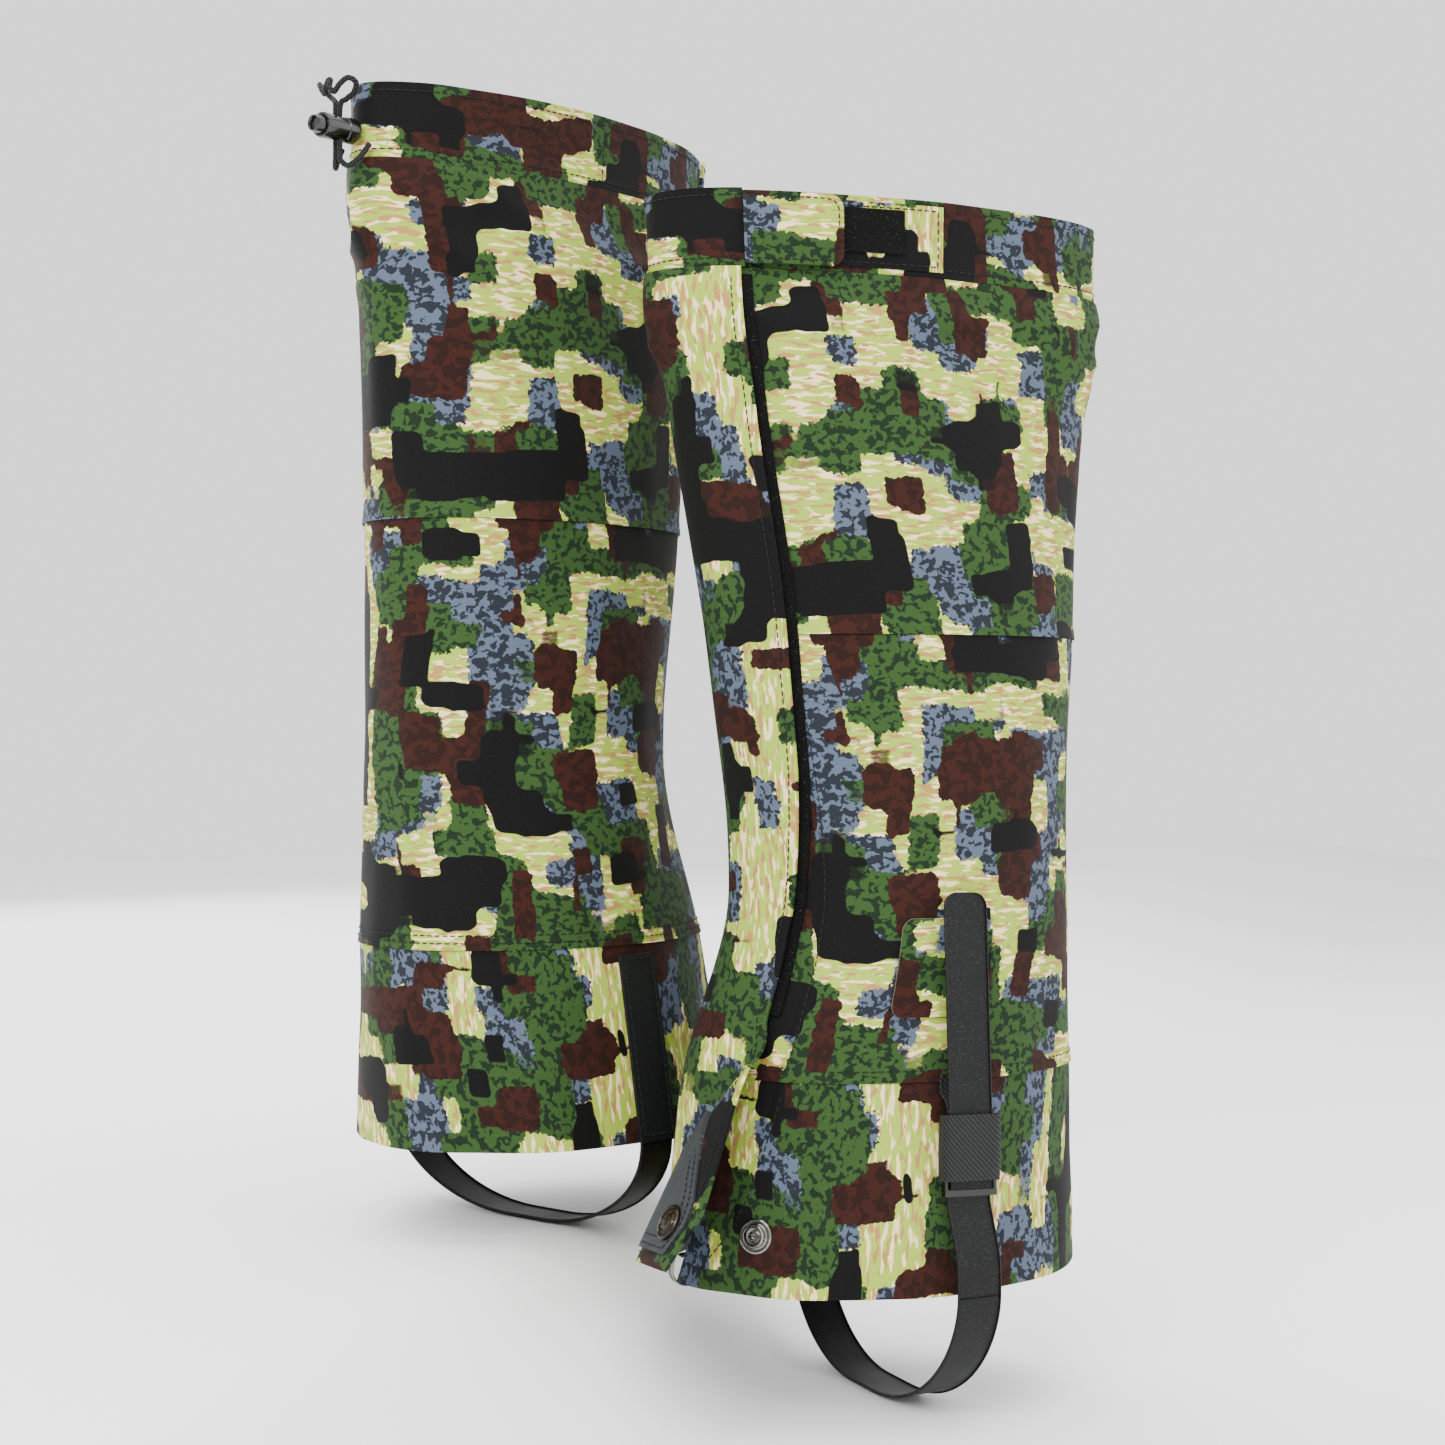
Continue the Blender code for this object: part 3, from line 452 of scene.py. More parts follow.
def makeIslandGroup():
    # rounded, stepped islands of print: noise read on stair-stepped cloth coordinates
    group, start, stop = newGroup("printIsland", {"Vector": None, "Cell Across": 0.012, "Cell Up": 0.010,
                                                  "Seed": 0.0, "Level": 0.55, "Ragged": 0.0}, ("Mask",))
    split = put(group, "ShaderNodeSeparateXYZ", {0: start.outputs["Vector"]})
    stepped = []
    for axis, cell in ((0, "Cell Across"), (1, "Cell Up")):
        other = split.outputs[1 - axis]
        lean = calc(group, "MULTIPLY", calc(group, "SINE", calc(group, "MULTIPLY", other, 61.0)), 0.0016)
        torn = put(group, "ShaderNodeTexNoise", {"Vector": start.outputs["Vector"], "Scale": 420.0 + 60 * axis,
                                                 "Detail": 1.0})
        lean = calc(group, "MULTIPLY_ADD", calc(group, "SUBTRACT", torn.outputs["Fac"], 0.5),
                    calc(group, "MULTIPLY", start.outputs["Ragged"], 5.0), lean)
        scaled = calc(group, "DIVIDE", calc(group, "ADD", split.outputs[axis], lean), start.outputs[cell])
        whole = calc(group, "FLOOR", scaled)
        rest = calc(group, "SUBTRACT", scaled, whole)
        stair = put(group, "ShaderNodeMapRange", {"Value": rest, "From Min": 0.16, "From Max": 0.84},
                    interpolation_type="SMOOTHSTEP").outputs[0]
        stepped.append(calc(group, "ADD", whole, stair))
    spot = put(group, "ShaderNodeCombineXYZ", {0: stepped[0], 1: stepped[1], 2: start.outputs["Seed"]}).outputs[0]
    field = put(group, "ShaderNodeTexNoise", {"Vector": spot, "Scale": 0.37, "Detail": 0.6, "Roughness": 0.5})
    mask = edgeAt(group, field.outputs["Fac"], start.outputs["Level"], 0.004)
    group.links.new(mask, stop.inputs["Mask"])
    return group


def scaledAxes(tree, vector, across, up):
    split = put(tree, "ShaderNodeSeparateXYZ", {0: vector})
    return calc(tree, "DIVIDE", split.outputs[0], across), calc(tree, "DIVIDE", split.outputs[1], up)


def makeMottleGroup():
    # small net of darker spots inside an island
    group, start, stop = newGroup("printMottle", {"Vector": None, "Size": 0.002, "Seed": 0.0, "Level": 0.5},
                                                 ("Mask",))
    x, y = scaledAxes(group, *(start.outputs[key] for key in ("Vector", "Size", "Size")))
    spot = put(group, "ShaderNodeCombineXYZ", {0: x, 1: calc(group, "MULTIPLY", y, 1.15), 2: start.outputs["Seed"]})
    field = put(group, "ShaderNodeTexNoise", {"Vector": spot.outputs[0], "Scale": 0.62, "Detail": 1.5, "Roughness": 0.5,
                                              "Distortion": 0.5})
    group.links.new(edgeAt(group, field.outputs["Fac"], start.outputs["Level"], 0.02), stop.inputs["Mask"])
    return group


def makeStreakGroup():
    # short dashes of ink running along the first axis
    group, start, stop = newGroup("printStreak", {"Vector": None, "Length": 0.007, "Height": 0.0013,
                                                  "Seed": 0.0, "Level": 0.5}, ("Mask",))
    x, y = scaledAxes(group, *(start.outputs[key] for key in ("Vector", "Length", "Height")))
    spot = put(group, "ShaderNodeCombineXYZ", {0: x, 1: y, 2: start.outputs["Seed"]})
    field = put(group, "ShaderNodeTexNoise", {"Vector": spot.outputs[0], "Scale": 0.8, "Detail": 1.5,
                                              "Roughness": 0.55})
    group.links.new(edgeAt(group, field.outputs["Fac"], start.outputs["Level"], 0.02), stop.inputs["Mask"])
    return group


def makeWeaveGroup():
    # diagonal threads of a twill, as height and as painted shade: darker in the grooves, lighter on the crests
    group, start, stop = newGroup("twillWeave", {"Vector": None, "Thread": 0.0005}, ("Height", "Painted Shade"))
    x, y = scaledAxes(group, *(start.outputs[key] for key in ("Vector", "Thread", "Thread")))
    diagonal = calc(group, "SINE", calc(group, "MULTIPLY", calc(group, "ADD", x, y), 3.1416))
    across = calc(group, "SUBTRACT", x, calc(group, "MULTIPLY", y, 0.5))
    cross = calc(group, "SINE", calc(group, "MULTIPLY", across, 6.2832))
    height = calc(group, "MULTIPLY_ADD", cross, 0.3, diagonal)
    spot = put(group, "ShaderNodeCombineXYZ", {0: x, 1: y, 2: 0.0})
    fuzz = put(group, "ShaderNodeTexNoise", {"Vector": spot.outputs[0], "Scale": 0.9, "Detail": 2.0})
    height = calc(group, "MULTIPLY_ADD", fuzz.outputs["Fac"], 1.2, height)
    group.links.new(height, stop.inputs["Height"])
    # painted shade and light: the colour follows the weave's height, darker in the grooves, lighter on the crests
    group.links.new(calc(group, "MULTIPLY_ADD", height, 0.05, 0.93), stop.inputs["Painted Shade"])
    return group


def makeGrainGroup():
    # coarse grain and fine specks of a coated or moulded surface
    group, start, stop = newGroup("surfaceGrain", {"Vector": None, "Size": 0.0006, "Speck Level": 0.66},
                                                  ("Height", "Speck", "Cloud"))
    scaled = put(group, "ShaderNodeVectorMath", {0: start.outputs["Vector"]}, operation="SCALE")
    group.links.new(calc(group, "DIVIDE", 1.0, start.outputs["Size"]), scaled.inputs["Scale"])
    fine = put(group, "ShaderNodeTexNoise", {"Vector": scaled.outputs[0], "Scale": 0.9, "Detail": 2.0,
                                             "Roughness": 0.6})
    cloud = put(group, "ShaderNodeTexNoise", {"Vector": scaled.outputs[0], "Scale": 0.03, "Detail": 3.0})
    group.links.new(fine.outputs["Fac"], stop.inputs["Height"])
    group.links.new(edgeAt(group, fine.outputs["Fac"], start.outputs["Speck Level"], 0.02), stop.inputs["Speck"])
    group.links.new(cloud.outputs["Fac"], stop.inputs["Cloud"])
    return group


islandGroup, mottleGroup, streakGroup = makeIslandGroup(), makeMottleGroup(), makeStreakGroup()
weaveGroup, grainGroup = makeWeaveGroup(), makeGrainGroup()

printColours = {"lime": "98B03E", "cream": "F0D5A2", "tan": "A17F48", "forest": "2B451E", "forestDark": "122212",
                "slate": "4C5768", "slateDark": "1E2229", "brown": "2E130C", "brownDark": "200D08", "black": "040504"}
# each island colour: seed, cell across, cell up, coverage level, raggedness
printLayers = [("slate", 2.3, 0.0130, 0.0105, 0.532, 0.0010), ("forest", 7.9, 0.0135, 0.0120, 0.522, 0.0009),
               ("brown", 13.1, 0.0095, 0.0135, 0.585, 0.0005), ("black", 19.7, 0.0125, 0.0105, 0.618, 0.0)]
# darker spots inside an island: size, coverage level
printMottles = {"slate": (0.0019, 0.5), "forest": (0.0022, 0.53), "brown": (0.0030, 0.5)}


def addUse(tree, group, inputs):
    return put(tree, "ShaderNodeGroup", inputs, node_tree=group)


def makePrintGroup():
    # the whole camouflage print, from flat cloth coordinates in metres
    group, start, stop = newGroup("camoPrint", {"Vector": None}, ("Color",))
    spot = start.outputs["Vector"]
    colour = srgb(printColours["lime"])
    for name, length, seed, level in (("cream", 0.0070, 4.0, 0.560), ("tan", 0.0060, 9.0, 0.575)):
        streak = addUse(group, streakGroup, {"Vector": spot, "Length": length, "Height": 0.0016, "Seed": seed,
                                             "Level": level})
        colour = blendColour(group, streak.outputs[0], colour, srgb(printColours[name]))
    for name, seed, across, up, level, ragged in printLayers:
        mask = addUse(group, islandGroup, {"Vector": spot, "Cell Across": across, "Cell Up": up, "Seed": seed,
                                           "Level": level, "Ragged": ragged})
        ink = srgb(printColours[name])
        if name in printMottles:
            size, cover = printMottles[name]
            dark = addUse(group, mottleGroup, {"Vector": spot, "Size": size, "Seed": seed, "Level": cover})
            ink = blendColour(group, dark.outputs[0], ink, srgb(printColours[name + "Dark"]))
        colour = blendColour(group, mask.outputs[0], colour, ink)
    group.links.new(colour, stop.inputs["Color"])
    return group


printGroup = makePrintGroup()


def newMaterial(name):
    material = bpy.data.materials.new(name)
    material.use_nodes = True
    tree = material.node_tree
    shader = tree.nodes["Principled BSDF"]
    spot = put(tree, "ShaderNodeAttribute", attribute_name="clothSpot").outputs["Vector"]
    return material, tree, shader, spot


def wireBump(tree, shader, height, strength, distance):
    node = put(tree, "ShaderNodeBump", {"Height": height, "Strength": strength, "Distance": distance})
    tree.links.new(node.outputs[0], shader.inputs["Normal"])


def makeCamo(name, shift, turn):
    material, tree, shader, spot = newMaterial(name)
    laid = put(tree, "ShaderNodeMapping", {"Vector": spot, "Location": (*shift, 0),
                                           "Rotation": (0, 0, math.radians(turn))})
    ink = addUse(tree, printGroup, {"Vector": laid.outputs[0]})
    weave = addUse(tree, weaveGroup, {"Vector": spot, "Thread": 0.00055})
    # painted shade and light from the weave's relief, multiplied into the print colour
    shade = put(tree, "ShaderNodeCombineColor", dict.fromkeys(range(3), weave.outputs["Painted Shade"]))
    tree.links.new(blendColour(tree, 1.0, ink.outputs[0], shade.outputs[0], "MULTIPLY"), shader.inputs["Base Color"])
    shader.inputs["Roughness"].default_value = 0.78
    shader.inputs["Specular IOR Level"].default_value = 0.13
    shader.inputs["Sheen Weight"].default_value = 0.02
    shader.inputs["Sheen Roughness"].default_value = 0.5
    wireBump(tree, shader, weave.outputs["Height"], 0.35, 0.00012)
    return material


def makeDark(name, colour, speck, size, rough, level=0.66, bumpSize=0.0002, metal=0.0, specular=0.4, coat=0.0):
    # one maker for coated straps, tapes, webbing, leather and plastic: base, specks, grain
    material, tree, shader, spot = newMaterial(name)
    grain = addUse(tree, grainGroup, {"Vector": spot, "Size": size, "Speck Level": level})
    cloudy = blendColour(tree, calc(tree, "MULTIPLY", grain.outputs["Cloud"], 0.5), srgb(colour), (0, 0, 0, 1))
    tree.links.new(blendColour(tree, grain.outputs["Speck"], cloudy, srgb(speck)), shader.inputs["Base Color"])
    tree.links.new(calc(tree, "MULTIPLY_ADD", grain.outputs["Cloud"], 0.2, rough - 0.1), shader.inputs["Roughness"])
    shader.inputs["Metallic"].default_value = metal
    shader.inputs["Specular IOR Level"].default_value = specular
    shader.inputs["Coat Weight"].default_value = coat
    wireBump(tree, shader, grain.outputs["Height"], 0.5, bumpSize)
    return material


def makeWoven(name, colour, light, thread, rough):
    # coarse black weave with painted highlights on its ridges
    material, tree, shader, spot = newMaterial(name)
    weave = addUse(tree, weaveGroup, {"Vector": spot, "Thread": thread})
    ridgeHighlight = edgeAt(tree, weave.outputs["Height"], 0.9, 0.5)
    # painted highlight: the ridges of the weave take the paler colour
    tree.links.new(blendColour(tree, ridgeHighlight, srgb(colour), srgb(light)), shader.inputs["Base Color"])
    shader.inputs["Roughness"].default_value = rough
    shader.inputs["Specular IOR Level"].default_value = 0.3
    wireBump(tree, shader, weave.outputs["Height"], 0.8, thread * 0.35)
    return material


looks = {
    "upperCamo": makeCamo("upperLegCamo", (0.31, 0.12), 0), "lowerCamo": makeCamo("lowerLegCamo", (0.87, 0.47), 0),
    "footCamo": makeCamo("footCamo", (1.43, 0.22), 90), "collarCamo": makeCamo("collarCamo", (0.05, 0.71), 0),
    "flapCamo": makeCamo("flapCamo", (0.58, 0.93), 90), "tabCamo": makeCamo("tabCamo", (1.91, 0.33), 0),
    "landingCamo": makeCamo("landingCamo", (1.17, 0.58), 90), "patchCamo": makeCamo("patchCamo", (0.44, 1.37), 0),
    "lining": makeDark("greyLining", "202223", "303233", 0.0008, 0.75),
    "paleEdge": makeDark("paleEdge", "A9A98A", "8C8C70", 0.0008, 0.6),
    "thread": makeWoven("blackThread", "121312", "2A2B2A", 0.0004, 0.7),
    "hookTape": makeDark("hookTape", "050605", "3A3D39", 0.0007, 0.95, 0.68, 0.0006, 0, 0.15),
    "loopTape": makeDark("loopTape", "070807", "1E201E", 0.0009, 0.95, 0.6, 0.0008, 0, 0.15),
    "strap": makeDark("coatedStrap", "060707", "242626", 0.00055, 0.55, 0.62, 0.00010, 0, 0.22),
    "sewnStrap": makeDark("sewnStrap", "141716", "2C2F2E", 0.0006, 0.7, 0.64, 0.00010, 0, 0.2),
    "twill": makeWoven("blackTwill", "070807", "242625", 0.0011, 0.65),
    "cord": makeWoven("braidedCord", "050605", "1C1D1C", 0.0010, 0.7),
    "plastic": makeDark("glossPlastic", "040404", "0A0A0A", 0.002, 0.24, 0.7, 0.00004, 0, 0.5, 0.3),
    "leather": makeDark("greyLeather", "2A2E31", "3C4043", 0.0008, 0.72, 0.62, 0.00022, 0, 0.35),
    "bright": makeDark("brightMetal", "96958F", "7C7B76", 0.004, 0.22, 0.7, 0.00002, 1.0, 0.5),
    "antique": makeDark("antiqueMetal", "3A322B", "6B6258", 0.0012, 0.3, 0.64, 0.00008, 1.0, 0.5),
}
print("materials made")


def evenly(low, high, count):
    return [low + (high - low) * k / count for k in range(count + 1)]


def through(pairs):
    def value(height):
        if height <= pairs[0][0]:
            return pairs[0][1]
        for low, high in zip(pairs, pairs[1:]):
            if height <= high[0]:
                s = (height - low[0]) / (high[0] - low[0])
                return low[1] + (high[1] - low[1]) * s
        return pairs[-1][1]
    return value


def always(value):
    return lambda anything: value


def surfaceMatrix(place, height, angle, lift):
    origin = place(height, angle, lift)
    up = (place(height + 0.004, angle, lift) - place(height - 0.004, angle, lift)).normalized()
    across = (place(height, angle + 2, lift) - place(height, angle - 2, lift)).normalized()
    out = across.cross(up).normalized()
    matrix = Matrix((up.cross(out), up, out)).transposed().to_4x4()
    matrix.translation = origin
    return matrix


def addPiece(gaiter, part, name, looks, body, node, sharp=35):
    # the finished mesh, on the body it moves with, in place of its CAD node
    prefix = gaiter["prefix"]
    piece = finishPart(prefix + name, part, gaiter, looks, sharp)
    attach(piece, prefix + body)
    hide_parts(prefix + node)
    return piece


def onLeg(gaiter):
    return lambda h, t, lift: legPoint(h, t, lift + drape(gaiter, h, t))


# ---------- sleeve panels
cloth = sleeve["cloth"]
hookLift = (cloth + 0.0004, cloth + 0.0013)
loopLift = (cloth + 0.0017, cloth + 0.0026)
flapLift = (cloth + 0.0030, cloth + 0.0044)
bodyEdge = through([(0, 4), (0.021, 8), (0.0849, 8), (0.161, 6), (0.449, 10)])
placketLine = through([(0.0, 12), (0.0076, 14.5), (0.022, 23), (0.037, 29), (0.056, 33), (0.086, 37.8), (0.165, 39.4),
                       (0.1995, 39), (0.2672, 36.5), (0.449, 36)])
flapEdge = through([(0.005, 42), (0.03, 46.5), (0.06, 41), (0.109, 28.5), (0.1437, 28.5), (0.1886, 32.8), (0.211, 34.8),
                    (0.26, 36.6), (0.314, 38.2), (0.39, 39.2), (0.449, 41)])
seamSet = {"overlap": 0.0009, "width": 0.004}
placketSet = {"rise": 0.0008}


def makePanel(gaiter, name, low, high, step, look, body="sleeve"):
    part = newPart()
    wrapEnd = 336.4
    heights = evenly(low, high, max(2, round((high - low) / step)))
    heights = [low, low + 0.0008, *heights[1:-1], high - 0.0008, high]

    def outer(h, t):
        # the lower edge of each upper panel laps over the panel below it
        lap = seamSet["overlap"] * bump(h, low, seamSet["width"]) * (1 if low > 0 else 0.3)
        # the placket is doubled behind its stitched, rolled edge
        past = t - placketLine(h)
        fold = placketSet["rise"] * ramp(past, -0.9, 0.4) * (1 - ramp(past, 2.5, 16))
        fold *= ramp(sleeve["calf"] - h, 0.0, 0.02)
        return cloth + lap + (fold if t < 80 else 0)

    spacing = [k / 90 * 0.14 for k in range(90)] + [0.14 + 0.86 * k / 120 for k in range(121)]
    addSheet(part, gaiter, heights, bodyEdge, always(wrapEnd), 210, 0.0001, outer, backSlot=1, spacing=spacing)
    place = onLeg(gaiter)
    lines = {"collar_band": [high - 0.0035, low + 0.0035], "foot_panel": [],
             "lower_leg_panel": [low + 0.0045], "upper_leg_panel": []}[name]
    if gaiter["prefix"] == "right_" and name == "lower_leg_panel":
        lines = [low + 0.0030, low + 0.0062]
    for h in lines:
        path = [(h, t) for t in range(int(bodyEdge(h)) + 4, 333, 3)]
        addStitches(part, path, place, outer(h, 0) + 0.0001, 2)
    if name == "collar_band":
        addStitches(part, [(low + 0.003, 272), (high - 0.003, 272)], place, cloth + 0.0001, 2)
    else:
        # placket seam down the body's front edge
        path = [(h, placketLine(h) + 1.6) for h in evenly(low + 0.004, high - 0.003, 16)]
        if name != "upper_leg_panel":
            addStitches(part, path, place, cloth + placketSet["rise"] + 0.0001, 2)
    piece = addPiece(gaiter, part, "sewn_" + name, [looks[look], looks["lining"], looks["thread"]], body, name)
    around = arcLength((low + high) / 2, wrapEnd) - arcLength((low + high) / 2, bodyEdge(low))
    return piece


for gaiter in gaiters:
    makePanel(gaiter, "foot_panel", 0.0, sleeve["instep"] - 0.0001, 0.004, "footCamo")
    makePanel(gaiter, "lower_leg_panel", sleeve["instep"] + 0.0001, sleeve["calf"] - 0.0001, 0.004, "lowerCamo")
    makePanel(gaiter, "upper_leg_panel", sleeve["calf"] + 0.0001, sleeve["collar"] - 0.0001, 0.0035, "upperCamo")
    makePanel(gaiter, "collar_band", sleeve["collar"] + 0.0001, sleeve["height"], 0.003, "collarCamo")
print("sleeve panels made")

# ---------- front flap, its folded snap corner and its tapes
foldSet = {"low": (0.005, -12.0), "high": (0.109, 27.0), "open": 45.0, "bendWidth": 0.013}
foldMiddle = legPoint((foldSet["low"][0] + foldSet["high"][0]) / 2, (foldSet["low"][1] + foldSet["high"][1]) / 2,
                      flapLift[0] + cloth / 2)
foldLow = legPoint(*foldSet["low"], flapLift[0])
foldHigh = legPoint(*foldSet["high"], flapLift[0])
foldAxis = (foldLow - foldHigh).normalized()
foldOut = surfaceMatrix(legPoint, (foldSet["low"][0] + foldSet["high"][0]) / 2, 7.5, 0).col[2].to_3d()
foldAcross = foldOut.cross(foldAxis).normalized()
if foldAcross.dot(legPoint(0.03, 30, 0) - foldMiddle) < 0:
    foldAcross = -foldAcross


def foldedPoint(point):
    # the corner turns about the fold line, gently over the first centimetre
    past = (point - foldMiddle).dot(foldAcross)
    if past <= 0 or point.z > foldHigh.z + 0.02:
        return point
    share = ramp(past, 0, foldSet["bendWidth"])
    turn = Matrix.Rotation(math.radians(foldSet["open"]) * share, 3, foldAxis)
    return foldMiddle + turn @ (point - foldMiddle)


rootAngle = -23.0


def flapRise(angle):
    return ramp(angle, rootAngle, rootAngle + 18)


def flapRest(extra):
    # the flap lies on the cloth at its root and climbs over the tapes
    return lambda h, t: hookLift[0] + (flapLift[0] - hookLift[0]) * flapRise(t) + extra


def onFlap(place):
    return lambda h, t, lift: place(h, t, lift - (flapLift[0] - hookLift[0]) * (1 - flapRise(t)))


def flapPlace(h, t, lift):
    return foldedPoint(legPoint(h, t, lift))


def makeFlap(gaiter):
    part = newPart()
    prefix = gaiter["prefix"]
    heights = evenly(0.005, sleeve["collar"] - 0.0001, 116)
    place = flapPlace

    addSheet(part, gaiter, heights, always(rootAngle - 1), flapEdge, 30, flapRest(0.0), flapRest(cloth), place=place,
             slot=0, backSlot=1)
    draped = lambda h, t, lift: place(h, t, lift + drape(gaiter, h, t))
    edgeLine = [(h, flapEdge(h) - 3.2) for h in evenly(0.008, sleeve["collar"] - 0.004, 60)]
    addStitches(part, edgeLine, draped, flapLift[1] + 0.0001, 2)
    bottomLine = [(0.009, t) for t in range(-22, 38, 3)]
    addStitches(part, bottomLine, onFlap(draped), flapLift[1] + 0.0001, 2)
    piece = finishPart(prefix + "sewn_front_flap", part, gaiter, [looks["flapCamo"], looks["lining"], looks["thread"]])
    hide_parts(prefix + "front_flap", prefix + "snap_flap")
    width = arcLength(0.25, flapEdge(0.25)) - arcLength(0.25, rootAngle - 1)
    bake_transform(piece)

    # leather patch, sewn twice round, with the cap above it and the socket behind it
    opened = Matrix.Rotation(math.radians(foldSet["open"]), 3, foldAxis)
    foldLine = through([(foldSet["low"][0], foldSet["low"][1]), (foldSet["high"][0], foldSet["high"][1])])
    part = newPart()
    patchEdge = through([(0.011, 38.5), (0.024, 42.5), (0.034, 41.5), (0.074, 22)])
    patchStart = lambda h: foldLine(h) + 3.5
    crown = lambda past: 0.0009 * ramp(past, 0, 3) * (1 - ramp(past, 14, 24))  # stands off the bend
    plain = lambda h, t, lift: foldMiddle + opened @ (legPoint(h, t, lift) - foldMiddle)
    addSheet(part, gaiter, evenly(0.011, 0.0705, 20), patchStart, patchEdge, 24, flapLift[1] + 0.0001,
             lambda h, t: flapLift[1] + 0.0011 + crown(t - patchStart(h)),
             place=place, backSlot=0)
    for inset in (0.0022, 0.0060):
        angleInset = inset / 0.00118
        path = [(0.011 + inset, patchStart(0.011) + angleInset), (0.011 + inset, patchEdge(0.011) - angleInset)]
        path += [(h, patchEdge(h) - angleInset) for h in evenly(0.016 + inset, 0.066 - inset, 8)]
        path += [(h, patchStart(h) + angleInset) for h in evenly(0.064 - inset, 0.012 + inset, 8)]
        addStitches(part, path, draped, flapLift[1] + 0.0012, 1, pitch=0.0028)
    patchArea = 0.0
    for k in range(24):
        h = 0.011 + 0.0595 * (k + 0.5) / 24
        patchArea += 0.0595 / 24 * (arcLength(h, patchEdge(h)) - arcLength(h, patchStart(h)))
    piece = addPiece(gaiter, part, "leather_patch", [looks["leather"], looks["thread"]], "snap_corner",
                     "snap_patch")

    studSpot = (0.0235, 34.5)
    r = 0.0075
    part = newPart()
    seat = surfaceMatrix(plain, *studSpot, flapLift[1] + 0.0011 + drape(gaiter, *studSpot))
    addLathe(part, [(0.0, 0.0001), (0.96 * r, 0.0001), (1.0 * r, 0.0006), (0.99 * r, 0.0013), (0.93 * r, 0.0018),
                    (0.86 * r, 0.0019), (0.82 * r, 0.0015), (0.62 * r, 0.0016), (0.58 * r, 0.0019),
                    (0.53 * r, 0.0019), (0.50 * r, 0.0016),
                    (0.30 * r, 0.0019), (0.0, 0.0021)], seat, 0)
    for k in range(24):
        turn = 2 * math.pi * k / 24
        bead = seat @ Matrix.Translation((0.72 * r * math.cos(turn), 0.72 * r * math.sin(turn), 0.0015))
        addLathe(part, [(0.0, -0.0002), (0.0004, 0.0), (0.0003, 0.0003), (0.0, 0.00042)], bead, 0, 8)
    addPiece(gaiter, part, "domed_snap_cap", [looks["antique"]], "snap_corner", "snap_cap", 28)
    part = newPart()
    socketSeat = surfaceMatrix(plain, *studSpot, flapLift[0] + drape(gaiter, *studSpot))
    profile = [(0.64 * r, -0.0004), (0.90 * r, -0.0004), (0.90 * r, -0.0012), (0.84 * r, -0.0020), (0.74 * r, -0.0023),
               (0.67 * r, -0.0021), (0.64 * r, -0.0016), (0.64 * r, -0.0004)]
    addLathe(part, profile, socketSeat, 0)
    addPiece(gaiter, part, "rolled_snap_socket", [looks["bright"]], "snap_corner", "snap_socket", 28)
    part = newPart()
    studSeat = surfaceMatrix(legPoint, *studSpot, cloth + 0.0002 + drape(gaiter, *studSpot))
    profile = [(0.0, 0.0), (0.86 * r, 0.0), (0.94 * r, 0.0003), (0.94 * r, 0.0007), (0.86 * r, 0.0011),
               (0.70 * r, 0.0010),
               (0.64 * r, 0.0013), (0.59 * r, 0.0022), (0.63 * r, 0.0030), (0.645 * r, 0.0036), (0.60 * r, 0.0041),
               (0.53 * r, 0.0041), (0.48 * r, 0.0036), (0.45 * r, 0.0022), (0.30 * r, 0.0021), (0.29 * r, 0.0032),
               (0.26 * r, 0.0035), (0.20 * r, 0.0035), (0.17 * r, 0.0031), (0.16 * r, 0.0012), (0.0, 0.0012)]
    addLathe(part, profile, studSeat, 0)
    addPiece(gaiter, part, "stepped_snap_stud", [looks["bright"]], "sleeve", "snap_stud", 28)


def makeTapes(gaiter):
    low, high = 0.111, sleeve["collar"] - 0.003
    heights = evenly(low, high, 60)
    tapeStart = lambda h: bodyEdge(h) + 1.5
    for name, node, body, end, lifts in (
            ("hookTapeStrip", "hook_tape", "sleeve", lambda h: flapEdge(h) + 3.5, hookLift),
            ("loopTapeStrip", "loop_tape", "flap", lambda h: flapEdge(h) - 1.6, loopLift)):
        part = newPart()
        addSheet(part, gaiter, heights, tapeStart, end, 12, *lifts, backSlot=0)
        look = "hookTape" if node == "hook_tape" else "loopTape"
        piece = addPiece(gaiter, part, name, [looks[look]], body, node)
        width = arcLength(0.3, end(0.3)) - arcLength(0.3, tapeStart(0.3))


def makeLaceHook(gaiter):
    part = newPart()
    prefix = gaiter["prefix"]
    seat = surfaceMatrix(legPoint, 0.005, -3.0, 0)
    line = [seat @ Vector((0, y, 0.0012)) for y in (0.016, 0.008, 0.002)]
    for k in range(41):
        turn = math.radians(7.5 * k)
        line.append(seat @ Vector((0, -0.002 - 0.0062 * math.sin(turn), -0.0050 + 0.0062 * math.cos(turn))))
    addSweep(part, line, seat.col[0].to_3d(), 0.0050, 0.0010, 0)
    addPiece(gaiter, part, "curled_lace_hook", [looks["bright"]], "flap", "lace_hook", 50)


for gaiter in gaiters:
    makeFlap(gaiter)
    makeTapes(gaiter)
    makeLaceHook(gaiter)
print("front flaps made")

# ---------- collar closure
collarSet = {"tabLow": 0.41855, "tabHeight": 0.029, "tabBase": 41.5, "tabTip": 68.5, "landingEnd": 94.8,
             "corner": 0.006}


def roundedEnd(low, high, tip, corner, scale):
    def end(h):
        edge = min(h - low, high - h)
        if edge >= corner:
            return tip
        return tip - math.degrees((corner - math.sqrt(max(corner**2 - (corner - edge) ** 2, 0))) / scale)
    return end


